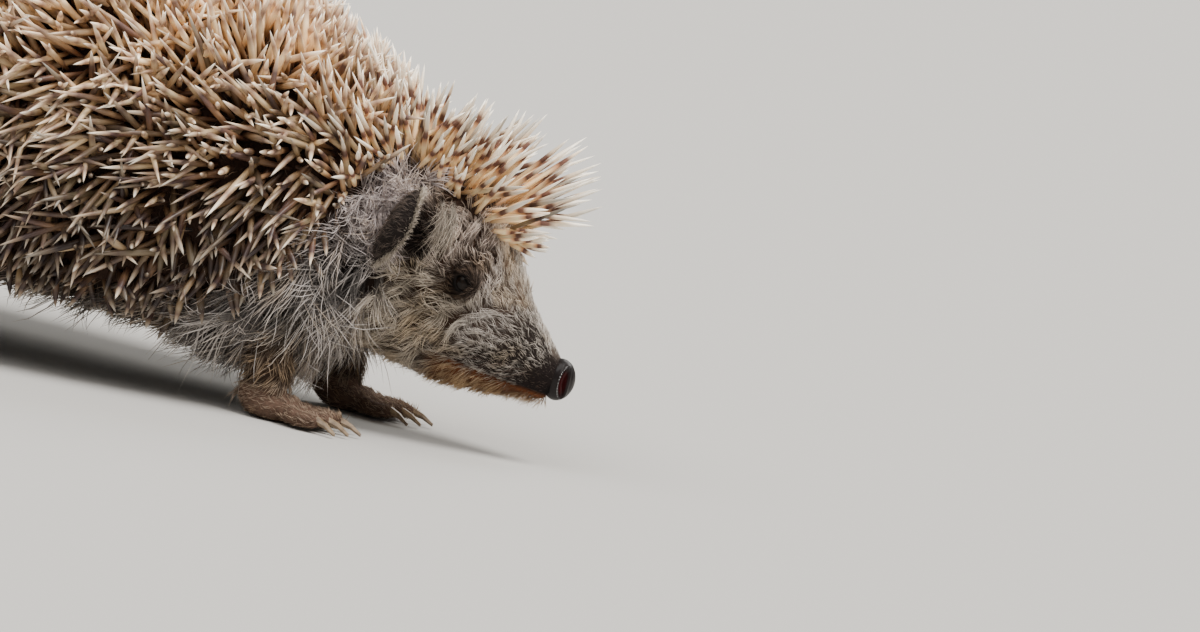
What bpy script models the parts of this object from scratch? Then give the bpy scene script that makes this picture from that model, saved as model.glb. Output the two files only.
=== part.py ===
"""A life-size European hedgehog on its four feet, nose held low, as closed solids.

Metres, +Z up, +X towards the nose, +Y towards the animal's left, floor at Z = 0.
The solids follow the outer shape of the coat: the spiny coat out to the spine tips,
and the face, neck and trunk out to the tips of the fur. The spiny coat lies over the
furred body as a thick cape, which ends along the flank and brow in the spine edge.
"""

import math
from dataclasses import astuple, dataclass

import bmesh
import bpy
from mathutils import Matrix, Vector

MM = 0.001
GAP = 0.3 * MM  # clearance between neighbouring solids

# Driving sizes of the animal, in millimetres
NOSE_TIP = (118.0, 20.6)  # X and Z of the foremost point
HEAD_PITCH = 27.0  # degrees that the head points below the horizontal
EYE_RADIUS = 3.4
EYE_BEHIND_NOSE = 33.0
EYE_ABOVE_AXIS = 3.8
EYE_OUT = 14.0
EAR_HEIGHT = 20.0
EAR_WIDTH = 16.0
EAR_THICKNESS = 2.4
EAR_PLACE = (76.9, 26.7, 49.4)
EAR_OUTWARD = -10.0  # degrees that the opening turns from the front to the side
EAR_LEAN = 21.0  # degrees that the top leans forwards
CLAW_LENGTH = 5.5
CLAW_BASE_RADIUS = 1.0
CLAW_TIP_RADIUS = 0.4
CLAW_GAP = 0.05  # the toes melt back a little from their ends, which leaves a gap besides
ANKLE_HEIGHT = 6.6  # where each leg hands over to its foot
NAPE_X = 61.0  # parts the crown from the back
NECK_FRONT = (63.5, 35.0)  # a point of the cut between head and neck
NECK_BACK = (46.0, 23.0)  # a point of the cut between neck and trunk
NECK_CUT_LEAN = 14.0  # degrees that both cuts lean forwards at the top

BODY_RINGS = 34  # facets along and round the furred body
BODY_SEGMENTS = 24
COAT_RINGS = 25  # facets along and round the spiny coat
COAT_SEGMENTS = 28

PARTS = "hedgehog"
CUTTERS = "cutters"


@dataclass
class Station:
    """One cross-section of a loft, in millimetres and degrees.

    The section stands across the body at (x, z), leaning by pitch, and reaches up, down and
    half_width from there. Squareness 2 is an ellipse, and more is fuller at the corners.
    """

    x: float
    z: float
    up: float
    down: float
    half_width: float
    pitch: float = 0.0
    squareness: float = 2.2  # of the upper half
    under_squareness: float = 2.2  # of the lower half


def on_head(behind, above):
    """X and Z of a point of the head, so far behind the nose tip and above the head's axis."""
    pitch = math.radians(HEAD_PITCH)
    x = NOSE_TIP[0] - behind * math.cos(pitch) + above * math.sin(pitch)
    z = NOSE_TIP[1] + behind * math.sin(pitch) + above * math.cos(pitch)
    return x, z


def head_station(behind, top, bottom, half_width, squareness=2.2):
    """A section across the head, from its upper and lower outline over the head's axis."""
    middle = (top + bottom) / 2
    reach = (top - bottom) / 2
    x, z = on_head(behind, middle)
    return Station(x, z, reach, reach, half_width, HEAD_PITCH, squareness)


# The furred body: muzzle, face, neck, belly and rump, out to the tips of the fur
FURRED_BODY = (
    head_station(2.6, 1.2, -8.0, 3.6),
    head_station(6.0, 3.2, -10.0, 6.0),
    head_station(13.0, 6.2, -13.8, 8.6),
    head_station(21.0, 9.8, -18.2, 11.4),
    head_station(28.5, 15.2, -21.4, 14.2),
    head_station(36.0, 20.0, -24.0, 17.2),
    head_station(46.0, 22.5, -26.8, 22.0),
    Station(67.0, 36.0, 31.0, 25.0, 28.5, 18.0, 2.2, 2.4),
    Station(53.0, 39.0, 36.0, 30.0, 34.5, 8.0, 2.2, 2.5),
    Station(32.0, 41.0, 46.0, 30.5, 40.0, 0.0, 2.2, 2.8),
    Station(0.0, 43.0, 56.0, 30.0, 45.0, 0.0, 2.2, 2.9),
    Station(-42.0, 44.0, 60.0, 29.5, 48.0, 0.0, 2.2, 3.0),
    Station(-76.0, 44.0, 51.0, 27.5, 44.0, 0.0, 2.2, 2.8),
    Station(-96.0, 45.0, 35.0, 24.0, 33.0, 0.0, 2.2, 2.5),
    Station(-106.0, 46.0, 19.0, 19.0, 20.0, 0.0, 2.2, 2.3),
    Station(-109.5, 47.0, 8.0, 8.0, 8.0, 0.0, 2.1, 2.1),
)

# The spiny coat, out to the tips of the spines, before it is cut off along the spine edge
SPINY_COAT = (
    Station(113.2, 65.0, 3.0, 4.0, 6.0),
    Station(111.0, 64.0, 8.5, 10.0, 14.0),
    Station(104.0, 62.0, 14.2, 20.0, 21.0),
    Station(88.0, 58.0, 20.6, 30.0, 28.5),
    Station(73.0, 55.0, 26.5, 36.0, 34.0),
    Station(58.0, 52.0, 37.5, 40.0, 41.5),
    Station(30.0, 49.0, 56.0, 42.0, 51.0, 0.0, 2.25),
    Station(-5.0, 48.0, 68.0, 44.0, 59.0, 0.0, 2.3),
    Station(-45.0, 48.0, 73.0, 44.0, 61.5, 0.0, 2.3),
    Station(-80.0, 48.0, 63.5, 42.0, 56.0, 0.0, 2.25),
    Station(-103.0, 48.0, 46.0, 38.0, 43.5),
    Station(-115.0, 48.0, 27.0, 30.0, 27.0),
    Station(-118.0, 48.0, 12.0, 15.0, 12.0),
)

# X and Z of the spine edge, from behind the rump, along the flank, over the ear, to the brow
SPINE_EDGE = (
    (-125.0, 30.0),
    (-85.0, 24.5),
    (-35.0, 21.5),
    (10.0, 22.0),
    (36.0, 26.0),
    (50.0, 33.5),
    (59.0, 46.0),
    (65.0, 58.0),
    (75.0, 62.0),
    (89.0, 55.5),
    (100.0, 50.5),
    (108.0, 54.0),
    (118.0, 61.0),
)

# Upper arm and thigh to ankle, then the foot that each leg stands on
FORELEG = (
    Station(48.0, 34.0, 8.0, 8.0, 5.5),
    Station(49.0, 24.0, 8.0, 8.0, 6.2),
    Station(52.0, 14.0, 6.6, 6.6, 5.8),
    Station(54.5, ANKLE_HEIGHT + 0.5, 5.2, 5.2, 5.0),
)
HINDLEG = (
    Station(-66.0, 38.0, 17.0, 17.0, 9.0),
    Station(-69.0, 27.0, 16.0, 16.0, 10.0),
    Station(-73.0, 16.0, 11.0, 11.0, 8.0),
    Station(-76.0, ANKLE_HEIGHT + 0.5, 6.0, 6.0, 5.6),
)


@dataclass
class Limb:
    """One leg with its foot: where it stands, and the sizes of its paw, in millimetres."""

    name: str
    side: int
    sections: tuple
    step: float  # how far the stride has carried the whole limb forwards
    out: float  # from the midline to the middle of the limb
    palm_centre: float
    palm_length: float
    palm_width: float
    toe_length: float
    toe_radius: float


LIMBS = (
    Limb("front_left", 1, FORELEG, 7.0, 23.5, 57.5, 17.0, 13.0, 7.0, 1.9),
    Limb("front_right", -1, FORELEG, -1.0, 23.5, 57.5, 17.0, 13.0, 7.0, 1.9),
    Limb("hind_left", 1, HINDLEG, -9.0, 35.0, -67.0, 30.0, 13.0, 8.0, 2.0),
    Limb("hind_right", -1, HINDLEG, 4.0, 35.0, -67.0, 30.0, 13.0, 8.0, 2.0),
)
TOE_SPREAD = (-2, -1, 0, 1, 2)


def clear_scene():
    """Removes every object, so that the script gives the same scene each time."""
    for old in list(bpy.data.objects):
        bpy.data.objects.remove(old, do_unlink=True)


def collection_named(name):
    """The collection of that name, made and linked on first use."""
    found = bpy.data.collections.get(name)
    if found is None:
        found = bpy.data.collections.new(name)
        bpy.context.scene.collection.children.link(found)
    return found


def finish_material(name, colour, roughness):
    """A Principled material of one colour, made once."""
    found = bpy.data.materials.get(name)
    if found is None:
        found = bpy.data.materials.new(name)
        found.use_nodes = True
        shader = found.node_tree.nodes["Principled BSDF"]
        shader.inputs["Base Color"].default_value = (*colour, 1.0)
        shader.inputs["Roughness"].default_value = roughness
        shader.inputs["Metallic"].default_value = 0.0
    return found


def spines():
    """Banded cream and brown spines."""
    return finish_material("spines", (0.52, 0.40, 0.28), 0.6)


def body_fur():
    """Grizzled grey-brown fur."""
    return finish_material("body_fur", (0.36, 0.30, 0.24), 0.9)


def face_fur():
    """Short brown-grey fur of the face."""
    return finish_material("face_fur", (0.27, 0.22, 0.17), 0.9)


def bare_skin():
    """Bare skin of the feet and ears."""
    return finish_material("bare_skin", (0.20, 0.14, 0.11), 0.6)


def nose_leather():
    """Wet black skin of the nose."""
    return finish_material("nose_leather", (0.02, 0.015, 0.015), 0.2)


def eye_black():
    """The dark eye."""
    return finish_material("eye_black", (0.008, 0.006, 0.005), 0.08)


def claw_horn():
    """Horn of the claws."""
    return finish_material("claw_horn", (0.30, 0.24, 0.17), 0.4)


def add_object(name, mesh, material, smooth_angle=40.0):
    """Puts a mesh in the parts collection under its node's name."""
    made = bpy.data.objects.new(name, mesh)
    mesh.materials.clear()
    mesh.materials.append(material)
    mesh.shade_smooth()
    mesh.set_sharp_from_angle(angle=math.radians(smooth_angle))
    collection_named(PARTS).objects.link(made)
    return made


def add_cutter(name, mesh):
    """Puts a mesh in the cutters collection, drawn as a wire and never rendered."""
    made = bpy.data.objects.new(name, mesh)
    made.display_type = "WIRE"
    made.hide_render = True
    collection_named(CUTTERS).objects.link(made)
    return made


def mesh_from(bm, name):
    """Turns a finished bmesh into a mesh whose faces point outwards."""
    bmesh.ops.recalc_face_normals(bm, faces=bm.faces)
    mesh = bpy.data.meshes.new(name)
    bm.to_mesh(mesh)
    bm.free()
    return mesh


def evaluated_mesh(obj, name):
    """The object's mesh with its modifiers applied, and the object removed."""
    bpy.context.view_layer.update()
    graph = bpy.context.evaluated_depsgraph_get()
    mesh = bpy.data.meshes.new_from_object(obj.evaluated_get(graph))
    mesh.name = name
    mesh.transform(obj.matrix_world)
    bpy.data.objects.remove(obj)
    return mesh


def boolean(target, cutter, operation="DIFFERENCE"):
    """Cuts the target with the cutter, or keeps only what both share."""
    modifier = target.modifiers.new(cutter.name, "BOOLEAN")
    modifier.operation = operation
    modifier.object = cutter
    return target


def through(rows, share):
    """A smooth curve through rows of numbers, at a share from 0 to 1 of the way along them."""
    place = min(max(share, 0.0), 1.0) * (len(rows) - 1)
    first = min(int(place), len(rows) - 2)
    t = place - first
    before, here = rows[max(first - 1, 0)], rows[first]
    there, after = rows[first + 1], rows[min(first + 2, len(rows) - 1)]
    return [
        0.5 * (2 * b + (c - a) * t + (2 * a - 5 * b + 4 * c - d) * t**2 + (3 * b - a - 3 * c + d) * t**3)
        for a, b, c, d in zip(before, here, there, after)
    ]


def ring_points(station, segments, grow):
    """The points of one section, starting at its left side and going over the top."""
    pitch = math.radians(station.pitch)
    middle = Vector((station.x, 0.0, station.z))
    upwards = Vector((math.sin(pitch), 0.0, math.cos(pitch)))
    sideways = Vector((0.0, 1.0, 0.0))
    points = []
    for i in range(segments):
        turn = 2 * math.pi * i / segments
        across, along = math.cos(turn), math.sin(turn)
        reach = (station.up if along > 0 else station.down) + grow
        power = 2.0 / (station.squareness if along > 0 else station.under_squareness)
        wide = (station.half_width + grow) * math.copysign(abs(across) ** power, across)
        high = reach * math.copysign(abs(along) ** power, along)
        points.append((middle + sideways * wide + upwards * high) * MM)
    return points


def loft_mesh(name, stations, rings, segments, grow=0.0):
    """A closed body through unlike sections, capped at both ends. Grow is in millimetres."""
    rows = [astuple(station) for station in stations]
    bm = bmesh.new()
    loops = []
    for i in range(rings):
        station = Station(*through(rows, i / (rings - 1)))
        points = ring_points(station, segments, grow)
        loops.append([bm.verts.new(point) for point in points])
    for one, other in zip(loops, loops[1:]):
        for i in range(segments):
            j = (i + 1) % segments
            bm.faces.new((one[i], one[j], other[j], other[i]))
    for loop in (loops[0], loops[-1]):
        cap = bm.faces.new(loop)
        bmesh.ops.poke(bm, faces=[cap])
    return mesh_from(bm, name)


def leg_mesh(name, limb):
    """A leg whose sections lie flat, stacked from the shoulder or hip down to the ankle."""
    bm = bmesh.new()
    rings, segments = 12, 16
    rows = [astuple(station) for station in limb.sections]
    loops = []
    for i in range(rings):
        station = Station(*through(rows, i / (rings - 1)))
        middle = Vector((station.x + limb.step, limb.side * limb.out, station.z))
        if i == rings - 1:
            middle.z = ANKLE_HEIGHT + GAP / MM
        loop = []
        for k in range(segments):
            turn = 2 * math.pi * k / segments
            ahead = station.up * math.cos(turn)
            aside = station.half_width * math.sin(turn)
            loop.append(bm.verts.new((middle + Vector((ahead, aside, 0.0))) * MM))
        loops.append(loop)
    for one, other in zip(loops, loops[1:]):
        for k in range(segments):
            m = (k + 1) % segments
            bm.faces.new((one[k], one[m], other[m], other[k]))
    bm.faces.new(loops[0])
    bm.faces.new(loops[-1])
    return mesh_from(bm, name)


def slab_mesh(name, outline, reach):
    """A prism over a closed outline of X and Z, in millimetres, reaching to both sides."""
    bm = bmesh.new()
    corners = [bm.verts.new((x * MM, -reach * MM, z * MM)) for x, z in outline]
    face = bm.faces.new(corners)
    grown = bmesh.ops.extrude_face_region(bm, geom=[face])["geom"]
    moved = [item for item in grown if isinstance(item, bmesh.types.BMVert)]
    bmesh.ops.translate(bm, verts=moved, vec=(0.0, 2 * reach * MM, 0.0))
    return mesh_from(bm, name)


def spine_edge_line(lift):
    """The spine edge as a smooth line of X and Z, lifted by so many millimetres."""
    steps = 40
    line = [through(SPINE_EDGE, i / steps) for i in range(steps + 1)]
    return [(x, z + lift) for x, z in line]


def cut_by_plane(mesh, point, lean, keep_front):
    """Keeps the part of a mesh in front of, or behind, a plane across the body."""
    angle = math.radians(lean)
    normal = Vector((math.cos(angle), 0.0, -math.sin(angle)))
    if not keep_front:
        normal.negate()
    place = Vector((point[0], 0.0, point[1])) * MM + normal * (GAP / 2)
    bm = bmesh.new()
    bm.from_mesh(mesh)
    everything = bm.verts[:] + bm.edges[:] + bm.faces[:]
    bmesh.ops.bisect_plane(bm, geom=everything, plane_co=place, plane_no=normal, clear_inner=True)
    rim = [edge for edge in bm.edges if edge.is_boundary]
    bmesh.ops.holes_fill(bm, edges=rim)
    bmesh.ops.recalc_face_normals(bm, faces=bm.faces)
    bm.to_mesh(mesh)
    bm.free()
    return mesh


def flatten_below(mesh, height, keep_below):
    """Cuts a mesh level at a height in millimetres, keeping what is below or above it."""
    bm = bmesh.new()
    bm.from_mesh(mesh)
    everything = bm.verts[:] + bm.edges[:] + bm.faces[:]
    upwards = (0.0, 0.0, -1.0 if keep_below else 1.0)
    bmesh.ops.bisect_plane(
        bm, geom=everything, plane_co=(0.0, 0.0, height * MM), plane_no=upwards, clear_inner=True
    )
    rim = [edge for edge in bm.edges if edge.is_boundary]
    bmesh.ops.holes_fill(bm, edges=rim)
    bmesh.ops.recalc_face_normals(bm, faces=bm.faces)
    bm.to_mesh(mesh)
    bm.free()
    return mesh


def build_cutters():
    """The prism under the spine edge, the one over it, and the body grown by the clearance."""
    high, low, reach = 200.0, -60.0, 120.0
    prisms = {}
    for name, far, lift in (("under", low, 0.0), ("over", high, -GAP / MM)):
        edge = spine_edge_line(lift)
        front, back = edge[-1][0] + 30, edge[0][0] - 30
        ends = [(back, far), (front, far), (front, edge[-1][1])]
        outline = [*ends, *reversed(edge), (back, edge[0][1])]
        prisms[name] = add_cutter(name + "_spine_edge", slab_mesh(name, outline, reach))
    grown = loft_mesh("grown_body", FURRED_BODY, BODY_RINGS, BODY_SEGMENTS, GAP / MM)
    prisms["body"] = add_cutter("grown_body", grown)
    return prisms


def build_spiny_coat(cutters):
    """The crown and the back, both down to the spine edge."""
    for name, keep_front in (("crown", True), ("back", False)):
        mesh = loft_mesh(name, SPINY_COAT, COAT_RINGS, COAT_SEGMENTS)
        cut_by_plane(mesh, (NAPE_X, 60.0), 0.0, keep_front)
        coat = add_object(name, mesh, spines())
        boolean(coat, cutters["under"])
        boolean(coat, cutters["body"])


def jaw_outline(grow):
    """The lower jaw from the side: under the mouth, and in front of its corner."""
    lip = on_head(-4.0, -4.6 + grow)
    middle = on_head(11.0, -8.9 + grow)
    corner = on_head(25.0 + grow, -12.2 + grow)
    throat = on_head(30.0 + grow, -32.0)
    chin = on_head(-4.0, -32.0)
    return (lip, middle, corner, throat, chin)


def build_furred_body():
    """Head, jaw, neck and trunk, all cut from one shape so that they meet smoothly."""
    reach = 60.0
    jaw_space = add_cutter("jaw_space", slab_mesh("jaw_space", jaw_outline(GAP / MM), reach))
    jaw_shape = add_cutter("jaw_shape", slab_mesh("jaw_shape", jaw_outline(0.0), reach))

    def body_shape(name):
        return loft_mesh(name, FURRED_BODY, BODY_RINGS, BODY_SEGMENTS)

    head_mesh = cut_by_plane(body_shape("head"), NECK_FRONT, NECK_CUT_LEAN, True)
    jaw = add_object("jaw", head_mesh.copy(), face_fur())
    boolean(jaw, jaw_shape, "INTERSECT")
    head = add_object("head", head_mesh, face_fur())
    boolean(head, jaw_space)

    neck_mesh = cut_by_plane(body_shape("neck"), NECK_FRONT, NECK_CUT_LEAN, False)
    cut_by_plane(neck_mesh, NECK_BACK, NECK_CUT_LEAN, True)
    add_object("neck", neck_mesh, body_fur())
    trunk_mesh = cut_by_plane(body_shape("trunk"), NECK_BACK, NECK_CUT_LEAN, False)
    add_object("trunk", trunk_mesh, body_fur())
    return head


def ball_mesh(name, centre, radii, segments=12):
    """An ellipsoid at a place, in millimetres."""
    bm = bmesh.new()
    bmesh.ops.create_uvsphere(bm, u_segments=segments, v_segments=segments // 2 + 2, radius=1.0)
    size = Matrix.Diagonal((*(Vector(radii) * MM), 1.0))
    bmesh.ops.transform(bm, matrix=Matrix.Translation(Vector(centre) * MM) @ size, verts=bm.verts)
    return mesh_from(bm, name)


def build_eyes(head):
    """The two eyes, each in a socket of the head."""
    x, z = on_head(EYE_BEHIND_NOSE, EYE_ABOVE_AXIS)
    for name, side in (("left", 1), ("right", -1)):
        centre = (x, side * EYE_OUT, z)
        clear = EYE_RADIUS + GAP / MM
        socket = ball_mesh("socket_" + name, centre, (clear,) * 3)
        boolean(head, add_cutter("socket_" + name, socket))
        add_object("eye_" + name, ball_mesh("eye_" + name, centre, (EYE_RADIUS,) * 3), eye_black())


def build_nose(cutters):
    """The nose pad in front of the muzzle, with its two nostrils."""
    x, z = on_head(3.8, -2.1)
    nose = add_object("nose", ball_mesh("nose", (x, 0.0, z), (4.4, 4.3, 4.6), 16), nose_leather())
    boolean(nose, cutters["body"])
    nostril_x, nostril_z = on_head(1.5, -2.6)
    for name, side in (("left", 1), ("right", -1)):
        hole = ball_mesh("nostril_" + name, (nostril_x, side * 3.9, nostril_z), (1.0, 1.3, 1.5), 8)
        boolean(nose, add_cutter("nostril_" + name, hole))


def build_ears(cutters):
    """Two cupped ears that stand out from the sides of the head, open to the front."""
    x, y, z = EAR_PLACE
    for name, side in (("left", 1), ("right", -1)):
        bm = bmesh.new()
        bmesh.ops.create_uvsphere(bm, u_segments=14, v_segments=10, radius=1.0)
        bmesh.ops.bisect_plane(
            bm,
            geom=bm.verts[:] + bm.edges[:] + bm.faces[:],
            plane_co=(0.15, 0.0, 0.0),
            plane_no=(1.0, 0.0, 0.0),
            clear_outer=True,
        )
        size = Matrix.Diagonal((0.42 * EAR_WIDTH * MM, EAR_WIDTH / 2 * MM, EAR_HEIGHT / 2 * MM, 1.0))
        turn = Matrix.Rotation(math.radians(EAR_OUTWARD * side), 4, "Z")
        lean = Matrix.Rotation(math.radians(EAR_LEAN), 4, "Y")
        place = Matrix.Translation(Vector((x, side * y, z)) * MM)
        bmesh.ops.transform(bm, matrix=place @ lean @ turn @ size, verts=bm.verts)
        bmesh.ops.recalc_face_normals(bm, faces=bm.faces)
        mesh = bpy.data.meshes.new("ear_" + name)
        bm.to_mesh(mesh)
        bm.free()
        ear = add_object("ear_" + name, mesh, bare_skin())
        wall = ear.modifiers.new("pinna", "SOLIDIFY")
        wall.thickness = EAR_THICKNESS * MM
        wall.offset = -1.0
        boolean(ear, cutters["body"])
        boolean(ear, cutters["over"])


def build_tail(cutters):
    """The short tail, low behind the rump and under the spine edge."""
    tail_stations = (
        Station(-100.0, 29.0, 4.0, 4.0, 4.0),
        Station(-107.0, 24.5, 3.2, 3.2, 3.2),
        Station(-112.5, 18.5, 2.4, 2.4, 2.4),
        Station(-115.0, 14.0, 1.0, 1.0, 1.0),
    )
    tail = add_object("tail", loft_mesh("tail", tail_stations, 9, 12), body_fur())
    boolean(tail, cutters["body"])
    boolean(tail, cutters["over"])


def toe_place(limb, spread):
    """Where one toe starts and points: its root, its direction and its length."""
    reach = limb.palm_length / 2 - 0.06 * limb.palm_length * abs(spread)
    root = Vector(
        (
            limb.palm_centre + limb.step + reach * 0.78,
            limb.side * limb.out + spread * limb.palm_width * 0.21,
            limb.toe_radius + 0.6,
        )
    )
    fan = math.radians(11.0 * spread)
    return root, Vector((math.cos(fan), math.sin(fan), 0.0)), limb.toe_length - 0.9 * abs(spread)


def foot_mesh(limb):
    """Palm and five toes melted into one foot, flat underneath and under the ankle."""
    middle = (limb.palm_centre + limb.step, limb.side * limb.out, 3.4)
    shapes = [
        (middle, (limb.palm_length / 2, limb.palm_width / 2, 3.9)),
        (
            (limb.sections[-1].x + limb.step, limb.side * limb.out, 4.6),
            (6.0, limb.palm_width / 2 - 1.0, 4.6),
        ),
    ]
    bm = bmesh.new()
    for centre, radii in shapes:
        size = Matrix.Diagonal((*(Vector(radii) * MM), 1.0))
        place = Matrix.Translation(Vector(centre) * MM) @ size
        bmesh.ops.create_uvsphere(bm, u_segments=20, v_segments=14, radius=1.0, matrix=place)
    for spread in TOE_SPREAD:
        root, way, length = toe_place(limb, spread)
        turn = way.to_track_quat("X", "Z").to_matrix().to_4x4()
        radii = Vector((length * 0.62, limb.toe_radius, limb.toe_radius))
        place = Matrix.Translation((root + way * length * 0.45) * MM) @ turn
        size = Matrix.Diagonal((*(radii * MM), 1.0))
        bmesh.ops.create_uvsphere(bm, u_segments=14, v_segments=10, radius=1.0, matrix=place @ size)
    rough = bpy.data.objects.new("rough_foot", mesh_from(bm, "rough_foot"))
    bpy.context.scene.collection.objects.link(rough)
    melt = rough.modifiers.new("melt", "REMESH")
    melt.mode = "VOXEL"
    melt.voxel_size = 0.7 * MM
    soften = rough.modifiers.new("soften", "SMOOTH")
    soften.factor = 0.5
    soften.iterations = 3
    thin = rough.modifiers.new("thin", "DECIMATE")
    thin.ratio = 0.06
    mesh = evaluated_mesh(rough, "foot_" + limb.name)
    flatten_below(mesh, 0.0, False)
    return flatten_below(mesh, ANKLE_HEIGHT, True)


def claw_mesh(name, root, way):
    """A curved claw: a cone bent downwards towards its tip."""
    bm = bmesh.new()
    bmesh.ops.create_cone(
        bm,
        cap_ends=True,
        segments=6,
        radius1=CLAW_BASE_RADIUS * MM,
        radius2=CLAW_TIP_RADIUS * MM,
        depth=CLAW_LENGTH * MM,
    )
    bmesh.ops.subdivide_edges(
        bm, edges=[e for e in bm.edges if abs(e.verts[0].co.z - e.verts[1].co.z) > MM], cuts=1
    )
    for vert in bm.verts:
        along = vert.co.z / (CLAW_LENGTH * MM) + 0.5
        vert.co.x += 1.5 * MM * along**2
    facing = way.to_track_quat("Z", "X").to_matrix().to_4x4()
    down_side = facing.inverted() @ Vector((0.0, 0.0, -1.0))
    roll = Matrix.Rotation(math.atan2(down_side.y, down_side.x), 4, "Z")
    centre = root + way * (CLAW_LENGTH / 2)
    bmesh.ops.transform(
        bm, matrix=Matrix.Translation(centre * MM) @ facing @ roll, verts=bm.verts
    )
    return mesh_from(bm, name)


def build_claws(limb):
    """Five claws, each a little in front of its toe."""
    for number, spread in enumerate(TOE_SPREAD, start=1):
        root, way, length = toe_place(limb, spread)
        ahead = (way + Vector((0.0, 0.0, -0.12))).normalized()
        start = root + way * (length * 1.07 + CLAW_GAP) + Vector((0.0, 0.0, 0.6))
        name = f"claw_{limb.name}_{number}"
        add_object(name, claw_mesh(name, start, ahead), claw_horn())


def build_limbs(cutters):
    """Legs, feet and claws. Each leg ends where it meets the body and the spine edge."""
    for limb in LIMBS:
        leg = add_object("leg_" + limb.name, leg_mesh("leg_" + limb.name, limb), body_fur())
        boolean(leg, cutters["body"])
        boolean(leg, cutters["over"])
        add_object("foot_" + limb.name, foot_mesh(limb), bare_skin())
        build_claws(limb)


def main():
    """Builds the whole animal."""
    clear_scene()
    cutters = build_cutters()
    build_spiny_coat(cutters)
    head = build_furred_body()
    build_eyes(head)
    build_nose(cutters)
    build_ears(cutters)
    build_tail(cutters)
    build_limbs(cutters)


main()
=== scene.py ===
"""The looks of a life-size hedgehog: one skin, spines, fur, eyes, nose and claws.

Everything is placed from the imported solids. Lengths in the dataclasses are millimetres, and
meshes are written in metres. Each spine and hair is a thin tuft, open only at its root in the skin.
"""

import logging
import math
from dataclasses import dataclass, field
from enum import Enum

import bmesh
import bpy
import numpy as np
from mathutils import Matrix, Quaternion, Vector, noise
from mathutils.bvhtree import BVHTree
from mathutils.kdtree import KDTree


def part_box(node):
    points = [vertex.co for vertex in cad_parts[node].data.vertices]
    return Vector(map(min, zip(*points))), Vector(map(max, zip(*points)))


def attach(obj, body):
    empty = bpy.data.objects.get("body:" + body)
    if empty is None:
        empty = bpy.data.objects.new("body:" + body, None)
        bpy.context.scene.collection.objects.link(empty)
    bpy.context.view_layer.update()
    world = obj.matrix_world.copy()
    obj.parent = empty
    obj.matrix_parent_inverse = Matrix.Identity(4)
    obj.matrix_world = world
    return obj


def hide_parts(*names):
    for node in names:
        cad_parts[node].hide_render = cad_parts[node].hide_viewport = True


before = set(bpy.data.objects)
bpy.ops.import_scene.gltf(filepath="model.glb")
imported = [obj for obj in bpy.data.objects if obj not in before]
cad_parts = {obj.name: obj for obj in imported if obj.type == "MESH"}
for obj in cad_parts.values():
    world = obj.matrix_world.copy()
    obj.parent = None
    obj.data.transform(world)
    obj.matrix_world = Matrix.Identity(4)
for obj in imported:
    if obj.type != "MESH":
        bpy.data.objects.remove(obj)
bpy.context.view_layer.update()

MM = 0.001
BODY = "root"
NOISE_SEED = 4
LIMB_NAMES = ("front_left", "front_right", "hind_left", "hind_right")
SIDES = (("left", 1), ("right", -1))
PATCH = 0.003  # the side of one tuft's patch on the unwrapped skin
LOG = logging.getLogger("hedgehog")
Colour = tuple[float, float, float]
Mesh = bpy.types.Mesh
BMesh = bmesh.types.BMesh
Socket = bpy.types.NodeSocket


def linear(red: int, green: int, blue: int) -> Colour:
    """A display colour, each channel from 0 to 255, as the linear light that shaders mix."""
    shares = [value / 255 for value in (red, green, blue)]
    return tuple(s / 12.92 if s <= 0.04045 else ((s + 0.055) / 1.055) ** 2.4 for s in shares)


def ramp(low: float, high: float, values: np.ndarray) -> np.ndarray:
    """A smooth step from 0 at low to 1 at high; high may be the smaller one."""
    share = np.clip((values - low) / (high - low), 0.0, 1.0)
    return share * share * (3 - 2 * share)


def unit(vectors: np.ndarray) -> np.ndarray:
    """Vectors scaled to length 1."""
    length = np.linalg.norm(vectors, axis=1, keepdims=True)
    return vectors / np.maximum(length, 1e-9)


def direction(vector: np.ndarray) -> np.ndarray:
    """One vector scaled to length 1."""
    return unit(vector[None])[0]


def box_mm(node: str) -> tuple[np.ndarray, np.ndarray]:
    """The lowest and highest corner of a solid, in millimetres."""
    low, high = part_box(node)
    return np.array(low) / MM, np.array(high) / MM


def add_object(name: str, data: bpy.types.ID) -> bpy.types.Object:
    """Makes an object and links it.

    Args:
        name: Its name.
        data: Its mesh, light or camera.

    Returns:
        The new object.
    """
    made = bpy.data.objects.new(name, data)
    bpy.context.scene.collection.objects.link(made)
    return made


def made_mesh(name: str, bm: BMesh) -> Mesh:
    """Turns a bmesh into a mesh, and frees it.

    Args:
        name: The mesh's name.
        bm: The bmesh.

    Returns:
        The new mesh.
    """
    mesh = bpy.data.meshes.new(name)
    bm.to_mesh(mesh)
    bm.free()
    return mesh


def add_piece(name: str, mesh: Mesh, material: bpy.types.Material) -> bpy.types.Object:
    """Links a finished mesh as a piece that rides on the body.

    Args:
        name: The piece's name.
        mesh: Its mesh, already in place.
        material: Its material.

    Returns:
        The new object.
    """
    mesh.materials.clear()
    mesh.materials.append(material)
    mesh.shade_smooth()
    piece = add_object(name, mesh)
    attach(piece, BODY)
    triangles = sum(len(face.vertices) - 2 for face in mesh.polygons)
    LOG.info("%s: %d triangles", name, triangles)
    return piece


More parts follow.
